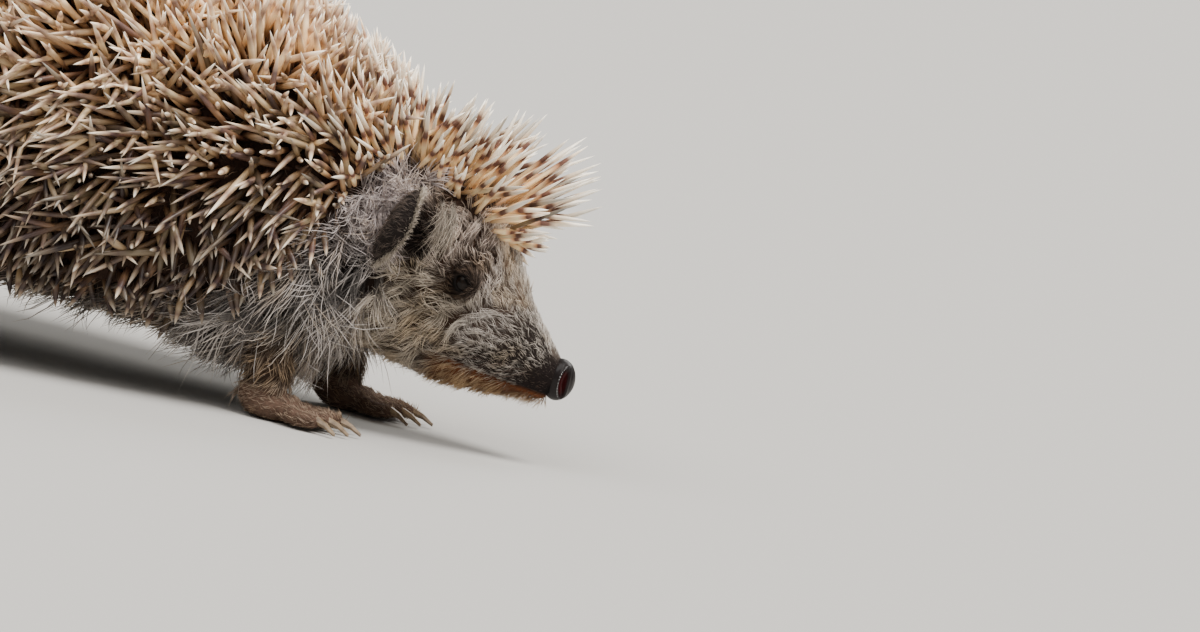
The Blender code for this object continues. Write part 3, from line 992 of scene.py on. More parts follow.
@dataclass
class Foot:
    """One paw with its five toes, laid inside its solid."""

    limb: str
    toe_radius: float = 1.75
    toe_gap: float = 2.75
    toe_room: float = 8.0  # in front of the palm
    spread: float = 11.0  # degrees between neighbouring toes
    half_width: float = 6.1
    ankle_radii: tuple = (5.2, 4.9, 4.2)

    def add_to(self, bm: BMesh) -> None:
        """Adds the palm, the heel and the toes as overlapping rounded forms.

        Args:
            bm: The mesh that grows.
        """
        low, high = box_mm("foot_" + self.limb)
        palm = (high[0] - low[0] - self.toe_room) / 2
        centre = np.array([low[0] + palm, (low[1] + high[1]) / 2, 3.1])
        half = self.half_width
        add_ball(bm, centre, (palm, half, 3.4))
        add_ball(bm, centre + (palm * 0.45, 0, 0.1), (palm * 0.5, half + 0.3, 2.9))
        leg_low, leg_high = box_mm("leg_" + self.limb)
        ankle = np.array([(leg_low[0] + leg_high[0]) / 2, centre[1], 5.2])
        ankle[0] = min(max(ankle[0], centre[0] - palm * 0.5), centre[0])
        add_ball(bm, ankle, self.ankle_radii)
        for step in (-2, -1, 0, 1, 2):
            turn = Matrix.Rotation(math.radians(self.spread * step), 4, "Z")
            way = np.array(turn @ Vector((1, 0, 0)))
            root = centre + (palm * (0.72 - 0.1 * abs(step)), step * self.toe_gap, -0.6)
            length = (high[0] - low[0]) - palm * 1.72 - 0.3 - 0.9 * abs(step)
            thick = self.toe_radius
            add_ball(bm, root + way * length * 0.45, (length * 0.6, thick, thick), turn)
            knuckle = root + way * length * 0.28 + (0, 0, 0.5)
            add_ball(bm, knuckle, (1.9, thick, thick), turn)
        for number in range(1, 6):
            self.add_cuff(bm, number, centre)

    def add_cuff(self, bm: BMesh, number: int, centre: np.ndarray) -> None:
        """Adds the end of a toe, which holds the root of its claw.

        Args:
            bm: The mesh that it is added to.
            number: The claw's number.
            centre: The middle of the palm.
        """
        claw = positions(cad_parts[f"claw_{self.limb}_{number}"].data)
        root = claw[claw[:, 0] < claw[:, 0].min() + 0.6].mean(axis=0)
        back = direction((centre - root) * (1, 1, 0))
        turn = Matrix.Rotation(math.atan2(-back[1], -back[0]), 4, "Z")
        add_ball(bm, root + back * 1.15 - (0, 0, 0.25), (2.1, 1.5, 1.6), turn)
        add_ball(bm, root + back * 3.0 - (0, 0, 0.4), (2.2, 1.6, 1.7), turn)


@dataclass
class Skin:
    """One skin over the whole animal, sunk below the solids by the depth of the coat."""

    plan: BodyPlan
    coarse: float = 0.9  # the grain of the trunk
    coarse_rounds: int = 14  # of smoothing
    fine: float = 0.5  # the grain of the whole skin
    fine_rounds: int = 4
    closing: float = 0.25  # grown on each solid so that neighbours join
    lid: float = 0.55
    lid_opening: tuple = (1.9, 1.5)  # half its length and half its height
    fine_reach: float = 4.9  # from the eye's centre, where the skin is divided finely
    smooth_reach: float = 4.7
    mouth_depth: float = 0.75
    lip_height: float = 0.28
    floor_gap: float = 0.02
    thinning: float = 0.27  # the share of triangles that stay under the coat
    bare_colour: Colour = linear(13, 10, 9)
    inner_ear: Colour = linear(104, 78, 68)
    trunk_nodes: tuple = ("trunk", "neck", "head", "jaw")

    def solid_copy(self, names: tuple, growth: float) -> Mesh:
        """Copies solids into one mesh, grown or shrunk a little.

        Args:
            names: The solids.
            growth: How far their faces move outwards, in millimetres.

        Returns:
            The joined mesh.
        """
        bm = bmesh.new()
        for name in names:
            bm.from_mesh(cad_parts[name].data)
        bmesh.ops.remove_doubles(bm, verts=bm.verts, dist=1e-6)
        for vert in bm.verts:
            vert.co += vert.normal * growth * MM
        return made_mesh("copy", bm)

    def trunk(self) -> Mesh:
        """Head, neck and trunk in one, sunk by each region's depth.

        Returns:
            The trunk's mesh.
        """
        mesh = with_modifiers(
            self.solid_copy(self.trunk_nodes, self.closing),
            ("REMESH", {"mode": "VOXEL", "voxel_size": self.coarse * MM}),
            ("SMOOTH", {"factor": 0.5, "iterations": self.coarse_rounds}),
        )
        points = positions(mesh)
        shares = self.plan.weights(points)
        parts = [place_of(region) for region in (Region.LEG, Region.FOOT, Region.EAR)]
        shares[:, place_of(Region.RUFF)] += shares[:, parts].sum(axis=1)
        shares[:, parts] = 0.0
        depth = shares @ column("depth") + self.closing
        behind, _ = self.plan.on_head(points)
        depth *= ramp(-2.0, 6.0, behind) * 0.75 + 0.25
        move_to(mesh, points - point_normals(mesh) * depth[:, None])
        return mesh

    def build(self) -> bpy.types.Object:
        """Joins trunk, limbs, ears and lids, smooths them into one skin and paints it.

        Returns:
            The skin's object.
        """
        bm = bmesh.new()
        bm.from_mesh(self.trunk())
        legs = tuple("leg_" + limb for limb in LIMB_NAMES)
        bm.from_mesh(self.stretched_legs(legs))
        bm.from_mesh(self.solid_copy(("tail",), -Region.TAIL.value.depth))
        for limb in LIMB_NAMES:
            Foot(limb).add_to(bm)
        for _, side in SIDES:
            Ear(self.plan, side).add_to(bm)
            bulge = self.plan.eye_radius + self.lid
            centre = self.plan.eye * (1, side, 1)
            add_ball(bm, centre, (bulge, bulge, bulge))
        mesh = with_modifiers(
            made_mesh("rough_skin", bm),
            ("REMESH", {"mode": "VOXEL", "voxel_size": self.fine * MM}),
            ("SMOOTH", {"factor": 0.5, "iterations": self.fine_rounds}),
        )
        self.refine(mesh)
        self.sculpt(mesh)
        mesh = self.thinned(mesh)
        points = positions(mesh)
        # the skin takes the regions' root colours, with their painted shade under the spines, on the ruff,
        # the flank and the ears, and their painted backlight on the brow and the bridge
        fur = self.plan.weights(points) @ column("root") * 1.1
        bare = self.plan.bare(points)[:, None]
        fur = fur * (1 - bare) + np.array(self.bare_colour) * bare
        inner = 0.85 * self.plan.in_ear(points, point_normals(mesh))[:, None]
        paint(mesh, "tint", fur * (1 - inner) + np.array(self.inner_ear) * inner)
        piece = add_piece("skin", mesh, SkinFinish().material())
        ears = tuple("ear_" + name for name, _ in SIDES)
        feet = tuple("foot_" + limb for limb in LIMB_NAMES)
        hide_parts(*self.trunk_nodes, *legs, *feet, *ears, "tail")
        return piece

    def stretched_legs(self, names: tuple) -> Mesh:
        """The legs, shrunk by their fur, their tops pushed into the trunk.

        Args:
            names: The solids of the legs.

        Returns:
            The joined mesh.
        """
        mesh = self.solid_copy(names, -Region.LEG.value.depth)
        points = positions(mesh)
        low = np.array([box_mm(name)[0][2] for name in names]).min()
        lift = ramp(low + 5, low + 14, points[:, 2])
        points[:, 2] += 6.0 * lift
        points[:, 1] -= np.sign(points[:, 1]) * 4.0 * lift
        sunk = ramp(low + 3, low + 0.5, points[:, 2])
        points[:, 2] -= 2.5 * sunk
        move_to(mesh, points)
        return mesh

    def refine(self, mesh: Mesh) -> None:
        """Divides the skin round the eyes finely enough for the lids.

        Args:
            mesh: The skin's mesh, which changes.
        """
        bm = bmesh.new()
        bm.from_mesh(mesh)
        for _, side in SIDES:
            centre = Vector(self.plan.eye * (1, side, 1)) * MM
            near = {vert for vert in bm.verts if (vert.co - centre).length < self.fine_reach * MM}
            edges = [edge for edge in bm.edges if near.issuperset(edge.verts)]
            bmesh.ops.subdivide_edges(bm, edges=edges, cuts=3, use_grid_fill=True)
            near = [vert for vert in bm.verts if (vert.co - centre).length < self.smooth_reach * MM]
            for _ in range(6):
                bmesh.ops.smooth_vert(
                    bm, verts=near, factor=0.5, use_axis_x=True, use_axis_y=True, use_axis_z=True
                )
        bm.to_mesh(mesh)
        bm.free()

    def sculpt(self, mesh: Mesh) -> None:
        """Cuts the mouth line and opens the lids over the eyes.

        Args:
            mesh: The skin's mesh, which changes.
        """
        points = positions(mesh)
        normals = point_normals(mesh)
        behind, over = self.plan.on_head(points)
        gap = over - self.plan.mouth_line(behind)
        along = ramp(0.5, 3.0, behind) * ramp(self.plan.mouth_corner, self.plan.mouth_corner - 5, behind)
        groove = self.mouth_depth * np.exp(-((gap / 0.42) ** 2)) * along * ramp(20, 16, np.abs(points[:, 1]))
        lip = self.lip_height * np.exp(-(((gap - 1.0) / 0.7) ** 2)) * along
        points -= normals * (groove - lip)[:, None]
        for _, side in SIDES:
            self.open_lids(points, side)
        points[:, 2] = np.maximum(points[:, 2], self.floor_gap)
        move_to(mesh, points)

    def open_lids(self, points: np.ndarray, side: int) -> None:
        """Pushes the skin in the almond between the lids back behind the eyeball.

        Args:
            points: The skin's points, which move.
            side: 1 for the left eye, -1 for the right.
        """
        centre = self.plan.eye * (1, side, 1)
        away = points - centre
        out = away[:, 1] * side
        lengthwise = away @ self.plan.forward
        upwards = away @ self.plan.above + 0.25 * lengthwise
        half_length, half_height = self.lid_opening
        almond = (lengthwise / half_length) ** 2 + np.abs(upwards / half_height) ** 1.7
        reach = np.linalg.norm(away, axis=1)
        outer = (out > 0) * (reach < self.plan.eye_radius + 2.5)
        ridge = 0.12 * np.exp(-(((almond - 1.45) / 0.35) ** 2)) * outer
        points += unit(away) * ridge[:, None]
        opened = ramp(1.08, 0.90, almond) * outer
        target = centre + unit(away) * (self.plan.eye_radius - 0.7)
        points += (target - points) * opened[:, None]

    def thinned(self, mesh: Mesh) -> Mesh:
        """Thins the mesh where the spines and the belly fur hide it.

        Args:
            mesh: The skin's mesh.

        Returns:
            A new mesh with fewer triangles there.
        """
        points = positions(mesh)
        behind, _ = self.plan.on_head(points)
        hidden = ramp(1.0, 5.0, points[:, 2] - self.plan.spine_edge(points[:, 0]))
        hidden = np.maximum(hidden, ramp(58, 66, behind) * ramp(8, 12, points[:, 2]))
        points = tuple(np.nonzero(hidden > 0.5)[0].tolist())
        thin = {"ratio": self.thinning, "vertex_group": "hidden", "vertex_group_factor": 10.0}
        return with_modifiers(mesh, ("DECIMATE", thin), hidden=points)


@dataclass
class Eyes:
    """The two eyeballs with their bulging fronts."""

    plan: BodyPlan
    bulge: float = 0.6  # of the front

    def build(self) -> None:
        """Builds both eyeballs."""
        material = EyeFinish().material()
        radius = self.plan.eye_radius
        for name, side in SIDES:
            bm = bmesh.new()
            bmesh.ops.create_uvsphere(bm, u_segments=64, v_segments=40, radius=radius)
            for vert in bm.verts:
                front = max(0.0, vert.co.z / radius - 0.5)
                vert.co.z += self.bulge * front**2
            turn = Matrix.Rotation(math.radians(-90.0 * side), 4, "X")
            centre = Vector(self.plan.eye * (1, side, 1)) * MM
            size = Matrix.Diagonal((MM, MM, MM, 1.0))
            bmesh.ops.transform(bm, matrix=Matrix.Translation(centre) @ turn @ size, verts=bm.verts)
            mesh = made_mesh("eyeball_" + name, bm)
            piece = add_piece("eyeball_" + name, mesh, material)
            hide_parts("eye_" + name)


@dataclass
class Nose:
    """The wet nose pad, with a tall nostril at each side and a groove down the middle."""

    plan: BodyPlan
    radii: tuple = (3.8, 3.85, 4.9)
    behind: float = 3.6
    over: float = -1.7
    nostril_place: tuple = (0.46, -0.08)  # forwards and upwards, as shares of the radii
    nostril_size: tuple = (0.23, 0.70)
    nostril_depth: float = 0.40
    middle: float = 0.15  # half the width of the wall between the nostrils
    beads: int = 15
    seed: int = 5
    bead: float = 0.085
    skin_colour: Colour = linear(20, 14, 14)
    inner_colour: Colour = linear(56, 15, 16)

    def nostril(self, x: float, side: float, z: float) -> float:
        """How far a point of the unit ball lies from the nostril's middle, 1 at its rim."""
        (across, up), (width, height) = self.nostril_place, self.nostril_size
        return math.hypot((x - across) / width, (z - up) / height) if side > self.middle else 9.0

    def build(self) -> None:
        """Builds the nose pad and the wet beads behind each nostril."""
        bm = bmesh.new()
        tint = bm.verts.layers.float_color.new("tint")
        bmesh.ops.create_uvsphere(bm, u_segments=120, v_segments=80, radius=1.0)
        for vert in bm.verts:
            x, y, z = vert.co
            side = abs(y)
            reach = self.nostril(x, side, z)
            edge = max(0.0, min(1.0, (side - self.middle) / 0.3))
            hole = max(0.0, 1.0 - reach**2) * edge
            rim = math.exp(-(((reach - 1.18) / 0.22) ** 2)) * edge
            groove = max(0.0, x) * math.exp(-((side / 0.11) ** 2)) * (0.5 + 0.5 * max(0.0, -z))
            vert.co *= 1.0 - self.nostril_depth * hole**0.6 + 0.05 * rim - 0.17 * groove
            share = min(1.0, hole * 2.5)
            colour = [a * (1 - share) + b * share for a, b in zip(self.skin_colour, self.inner_colour)]
            vert[tint] = (*colour, 1.0)
        rng = np.random.default_rng(self.seed)
        across, up = self.nostril_place
        for _, side in SIDES:
            for step in range(self.beads):
                turn = math.radians(104 + 150 * (step + rng.uniform(-0.15, 0.15)) / (self.beads - 1))
                x, z = across + 0.29 * math.cos(turn), up + 0.76 * math.sin(turn)
                y = side * math.sqrt(max(0.05, 1 - x * x - z * z))
                place = Matrix.Translation(Vector((x, y, z)) * 1.03)
                size = self.bead * rng.uniform(0.7, 1.2) / self.radii[0]
                bmesh.ops.create_uvsphere(bm, u_segments=8, v_segments=6, radius=size, matrix=place)
        # the wet beads are painted pale grey against the black pad, partly a painted sheen of their wetness
        for vert in bm.verts:
            if vert[tint][3] == 0.0:
                vert[tint] = (0.12, 0.10, 0.10, 1.0)
        place = Vector(self.plan.head_point(self.behind, self.over)) * MM
        turn = Matrix.Rotation(self.plan.pitch * 0.1, 4, "Y")
        size = Matrix.Diagonal((*(Vector(self.radii) * MM), 1.0))
        bmesh.ops.transform(bm, matrix=Matrix.Translation(place) @ turn @ size, verts=bm.verts)
        mesh = made_mesh("nose_pad", bm)
        piece = add_piece("nose_pad", mesh, NoseFinish().material())
        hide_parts("nose")


@dataclass
class Claws:
    """The claws, which are the solids themselves."""

    prefix: str = "claw_"

    def build(self) -> None:
        """Gives every claw its horn."""
        horn = HornFinish().material()
        claws = [node for name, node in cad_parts.items() if name.startswith(self.prefix)]
        for claw in claws:
            claw.data.materials.clear()
            claw.data.materials.append(horn)
        LOG.info("claws: %d", len(claws))


# ------------------------------------------------------------------ the coat


@dataclass
class Surface:
    """The skin as arrays, for scattering roots over it."""

    mesh: Mesh
    corners: np.ndarray = field(init=False)  # of each triangle, in millimetres
    normals: np.ndarray = field(init=False)  # at its corners
    areas: np.ndarray = field(init=False)
    centres: np.ndarray = field(init=False)

    def __post_init__(self) -> None:
        """Reads the triangles once."""
        self.mesh.calc_loop_triangles()
        triangles = rows(self.mesh.loop_triangles, "vertices", np.int32)
        self.corners = positions(self.mesh)[triangles]
        self.normals = point_normals(self.mesh)[triangles]
        sides = self.corners[:, 1:] - self.corners[:, :1]
        self.areas = np.linalg.norm(np.cross(sides[:, 0], sides[:, 1]), axis=1) / 2
        self.centres = self.corners.mean(axis=1)

    def scatter(self, density: np.ndarray, rng: np.random.Generator) -> tuple[np.ndarray, np.ndarray]:
        """Random roots over the skin.

        Args:
            density: Roots to the square millimetre, for each triangle.
            rng: The source of chance.

        Returns:
            The roots and the skin's normals there.
        """
        counts = rng.poisson(self.areas * density)
        index = np.repeat(np.arange(len(counts)), counts)
        shares = rng.dirichlet((1.0, 1.0, 1.0), len(index))
        points = np.einsum("ij,ijk->ik", shares, self.corners[index])
        normals = np.einsum("ij,ijk->ik", shares, self.normals[index])
        return points, unit(normals)


def spaced(points: np.ndarray, gaps: np.ndarray) -> np.ndarray:
    """Keeps each point only if none kept before it is nearer than its gap.

    Args:
        points: The candidates, in millimetres.
        gaps: The least distance for each.

    Returns:
        The indices of the points that stay.
    """
    cell = float(gaps.max())
    kept: dict = {}
    chosen = []
    keys = np.floor(points / cell).astype(int)
    steps = [(i, j, k) for i in (-1, 0, 1) for j in (-1, 0, 1) for k in (-1, 0, 1)]
    for index, (point, key, gap) in enumerate(zip(points.tolist(), keys.tolist(), gaps.tolist())):
        near = (other for i, j, k in steps for other in kept.get((key[0] + i, key[1] + j, key[2] + k), ()))
        if all(math.dist(point, other) >= gap for other in near):
            kept.setdefault(tuple(key), []).append(point)
            chosen.append(index)
    return np.array(chosen)


def wander(points: np.ndarray, size: float) -> np.ndarray:
    """A smooth wandering direction, much the same for points nearer than the size."""
    noise.seed_set(NOISE_SEED)  # without one, the noise differs from run to run
    return np.array([noise.noise_vector(Vector(point) / size) for point in points])


@dataclass
class Template:
    """One tuft of unit length along Z, open at its root, made once and repeated."""

    sides: int
    places: tuple  # of the rings, from the root at 0 to just short of the tip at 1
    widths: tuple  # of the rings, as shares of the tuft's radius
    faces: np.ndarray = field(init=False)
    along: np.ndarray = field(init=False)  # each point's place from root to tip
    around: np.ndarray = field(init=False)  # its place across, as a share of the radius
    angle: np.ndarray = field(init=False)  # its turn about the axis, from 0 to 1

    def __post_init__(self) -> None:
        """Builds the tuft with a cone cut into rings, and reads it into arrays."""
        bm = bmesh.new()
        bmesh.ops.create_cone(
            bm, cap_ends=False, segments=self.sides, radius1=1.0, radius2=0.0, depth=1.0,
            matrix=Matrix.Translation((0, 0, 0.5)),
        )
        for place in self.places[1:]:
            everything = bm.verts[:] + bm.edges[:] + bm.faces[:]
            bmesh.ops.bisect_plane(bm, geom=everything, plane_co=(0, 0, place), plane_no=(0, 0, 1))
        bmesh.ops.remove_doubles(bm, verts=bm.verts, dist=1e-5)
        bmesh.ops.triangulate(bm, faces=bm.faces)
        bmesh.ops.recalc_face_normals(bm, faces=bm.faces)
        bm.verts.index_update()
        shape = np.array([vert.co for vert in bm.verts])
        self.faces = np.array([[vert.index for vert in face.verts] for face in bm.faces])
        bm.free()
        self.along = shape[:, 2]
        around = shape[:, :2]
        length = np.linalg.norm(around, axis=1, keepdims=True)
        width = np.interp(self.along, (*self.places, 1.0), (*self.widths, 0.0))
        self.around = around / np.maximum(length, 1e-6) * width[:, None]
        self.angle = np.arctan2(shape[:, 1], shape[:, 0]) / (2 * math.pi) + 0.5


@dataclass
class Tufts:
    """Many tufts as arrays: where each is rooted, where it points, how it bends, and its paint."""

    roots: np.ndarray
    ways: np.ndarray  # from root to tip before bending, with the tuft's length
    bends: np.ndarray  # added in full at the tip
    radii: np.ndarray
    paint_root: np.ndarray
    paint_tip: np.ndarray

    def chosen(self, keep: np.ndarray) -> "Tufts":
        """Only the tufts that are kept."""
        return Tufts(*(getattr(self, name)[keep] for name in self.__dataclass_fields__))

    def mesh(self, name: str, template: Template, plan: BodyPlan, attribute: str) -> Mesh:
        """Repeats the template at every root.

        Args:
            name: The mesh's name.
            template: The tuft to repeat.
            plan: Gives each root's place on the unwrapped skin.
            attribute: The name of the painted attribute.

        Returns:
            The joined mesh.
        """
        count = len(self.roots)
        along = template.along[None, :, None]
        axis = unit(self.ways)
        helper = np.where(np.abs(axis[:, 2:3]) < 0.9, [[0.0, 0.0, 1.0]], [[1.0, 0.0, 0.0]])
        first = unit(np.cross(helper, axis))
        second = np.cross(axis, first)
        width = self.radii[:, None, None]
        points = self.roots[:, None, :] + self.ways[:, None, :] * along + self.bends[:, None, :] * along**2
        for across, place in ((first, template.around[:, :1]), (second, template.around[:, 1:])):
            points = points + across[:, None, :] * place[None] * width
        corners = len(template.along)
        faces = (template.faces[None] + (np.arange(count) * corners)[:, None, None]).reshape(-1, 3)
        mesh = bpy.data.meshes.new(name)
        mesh.vertices.add(count * corners)
        mesh.loops.add(faces.size)
        mesh.polygons.add(len(faces))
        mesh.loops.foreach_set("vertex_index", faces.astype(np.int32).ravel())
        mesh.polygons.foreach_set("loop_start", np.arange(0, faces.size, 3, dtype=np.int32))
        move_to(mesh, points.reshape(-1, 3))
        blend = self.paint_root[:, None, :] * (1 - along) + self.paint_tip[:, None, :] * along
        paint(mesh, attribute, blend.reshape(-1, 3))
        patch = PATCH * (np.stack([template.angle, template.along], 1) - 0.5)
        spots = (plan.unwrap(self.roots)[:, None, :] + patch[None]).reshape(-1, 2)
        layer = mesh.uv_layers.new(name="OFBake")
        layer.data.foreach_set("uv", spots[faces.ravel()].astype(np.float32).ravel())
        mesh.validate()
        return mesh


@dataclass
class SpinyCoat:
    """Spines over the back and the crown, ending at the outside of the solids."""

    plan: BodyPlan
    surface: Surface
    gap: float = 1.72  # between roots on the back
    crown_gap: float = 1.6
    radius: float = 0.77
    bunch: float = 9.0  # size of the bunches that lean the same way
    longest: float = 25.0
    crown_longest: float = 27.0
    shortest: float = 10.0
    fan_behind: float = 51.0  # the crown's spines spread from a point so far behind the nose tip
    fan_over: float = 4.0
    candidates: float = 3.0  # to the square millimetre, before they are spaced
    sunk: float = 0.8  # of each root, below the skin
    length_shares: tuple = (0.80, 1.06)  # of the way out to the solids
    radius_spread: tuple = (0.85, 1.12)
    low_tone_and_shade: float = 0.02  # the least tone, at the lower edge: partly the spines' own darkness, partly painted shade
    crown_tone_and_light: float = 0.60  # and on the crown: partly painted light from above
    tone_spread: float = 0.22
    band_shift: float = 0.08  # how far the bands slide along, as a share of the length
    pattern_spread: float = 0.4
    ray_reach: float = 60.0
    ray_step: float = 0.01  # past each face that a ray meets
    crown_from: float = 61.0  # along X, where the pieces meet
    rump_from: float = -58.0
    seed: int = 7

    def outer_reach(self, root: Vector, way: Vector, shells: list) -> float:
        """How far a ray runs before it leaves the last of the solids.

        Args:
            root: Where the ray starts, in metres.
            way: Its direction.
            shells: The solids.

        Returns:
            The distance in millimetres.
        """
        far = 0.0
        for shell in shells:
            start = root
            while (hit := shell.ray_cast(start, way, self.ray_reach * MM)[0]) is not None:
                start = hit + way * (self.ray_step * MM)
                far = max(far, (hit - root).length)
        return far / MM

    def directions(self, roots: np.ndarray, normals: np.ndarray, rng: np.random.Generator) -> np.ndarray:
        """Where each spine points: out, back and down on the body, fanned forwards on the crown.

        Args:
            roots: Rows of X, Y and Z in millimetres.
            normals: The skin's normals there.
            rng: The source of chance.

        Returns:
            Directions of length 1.
        """
        x, _, z = roots.T
        crown = ramp(52, 66, x)[:, None]
        side = 1 - np.clip(normals[:, 2], 0, 1)
        low = ramp(34, 6, z - self.plan.spine_edge(x)) * (1 - crown[:, 0])
        body = normals * (1.0 - 0.35 * side - 0.1 * low)[:, None]
        body = body + np.outer(0.28 + 0.16 * side, [-1.0, 0.0, 0.0])
        body = body + np.outer(0.30 * side + 0.75 * low, [0.0, 0.0, -1.0])
        centre = self.plan.head_point(self.fan_behind, self.fan_over)
        fan = unit(roots - centre)
        over_head = unit(normals * 0.25 + fan)
        way = unit(body) * (1 - crown) + over_head * crown
        stray = (0.46 - 0.16 * crown) * rng.normal(size=roots.shape)
        bunched = wander(roots, self.bunch) * (0.55 - 0.15 * crown)
        way = unit(way + stray * (0.75 + 0.35 * side[:, None]) + bunched)
        flat = np.sum(way * normals, axis=1, keepdims=True)
        way = way + normals * np.maximum(0.0, 0.28 - flat)
        return unit(way)

    def build(self) -> None:
        """Scatters, aims and measures the spines, and builds them in four pieces."""
        rng = np.random.default_rng(self.seed)
        centres = self.surface.centres
        low_brow = 3.0 * ramp(88, 96, centres[:, 0])
        inside = self.plan.over_edge(centres) > 0.5 - low_brow
        inside &= centres[:, 0] < self.plan.edge_x[-1]
        points, normals = self.surface.scatter(self.candidates * inside, rng)
        gaps = np.where(points[:, 0] > 62, self.crown_gap, self.gap)
        low = ramp(30, 8, points[:, 2] - self.plan.spine_edge(points[:, 0])) * ramp(56, 46, points[:, 0])
        gaps = gaps * (1 + 0.38 * low) * rng.uniform(0.85, 1.2, len(points))
        keep = spaced(points, gaps)
        points, normals, low = points[keep], normals[keep], low[keep]
        ways = self.directions(points, normals, rng)
        graph = bpy.context.evaluated_depsgraph_get()
        shells = [BVHTree.FromObject(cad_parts[name], graph) for name in ("back", "crown")]
        reach = np.array([
            self.outer_reach(Vector(point) * MM, Vector(way), shells)
            for point, way in zip(points, ways)
        ])
        crown = ramp(56, 72, points[:, 0])
        longest = self.longest + (self.crown_longest - self.longest) * crown
        front = ramp(86, 100, points[:, 0])
        share = rng.uniform(*self.length_shares, len(reach)) + 0.06 * front
        share += rng.uniform(-0.1, 0.2, len(reach)) * crown
        length = np.clip(reach * share, self.shortest, longest)
        count = len(points)
        radii = self.radius * rng.uniform(*self.radius_spread, count) * (1 - 0.22 * crown + 0.10 * low)
        # painted light: spines grow paler from the lower edge up to the top and the crown, partly their own
        # colour, partly painted top light and shade
        light = self.low_tone_and_shade + (1 - self.low_tone_and_shade) * ramp(27, 93, points[:, 2])
        light = np.maximum(light, self.crown_tone_and_light * crown)
        tone = np.clip(rng.normal(light, self.tone_spread), 0, 1)
        shift = rng.uniform(-self.band_shift, self.band_shift, count) + rng.uniform(0, 0.2, count) * crown
        # the pale pattern grows commoner towards the top, also partly painted top light
        pale = 0.9 * ramp(28, 95, points[:, 2])
        pattern = 0.5 * np.clip(rng.normal(pale, self.pattern_spread), 0, 1)
        pattern = np.where(rng.uniform(size=count) < crown, 1.0, pattern)
        tufts = Tufts(
            points - normals * self.sunk,
            ways * length[:, None],
            rng.normal(0, 0.5, points.shape) - normals * 0.5,
            radii,
            np.stack([shift, tone, pattern], 1),
            np.stack([1 + shift, tone, pattern], 1),
        )
        places = (0.0, 0.12, 0.34, 0.56, 0.76, 0.90)
        thorn = Template(6, places, (0.55, 0.80, 0.97, 0.97, 0.71, 0.34))
        needle = Template(6, places, (0.6, 0.85, 1.0, 0.98, 0.80, 0.45))
        material = SpineFinish().material()
        x, y, _ = points.T
        back = (x <= self.crown_from) & (x > self.rump_from)
        parts = {
            "spines_crown": x > self.crown_from,
            "spines_back_left": back & (y >= 0),
            "spines_back_right": back & (y < 0),
            "spines_rump": x <= self.rump_from,
        }
        for name, keep in parts.items():
            template = needle if name == "spines_crown" else thorn
            mesh = tufts.chosen(keep).mesh(name, template, self.plan, "spine")
            piece = add_piece(name, mesh, material)
            if name == "spines_crown":
                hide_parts("crown")
            if name == "spines_back_right":
                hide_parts("back")
        LOG.info("spines: %d", len(points))


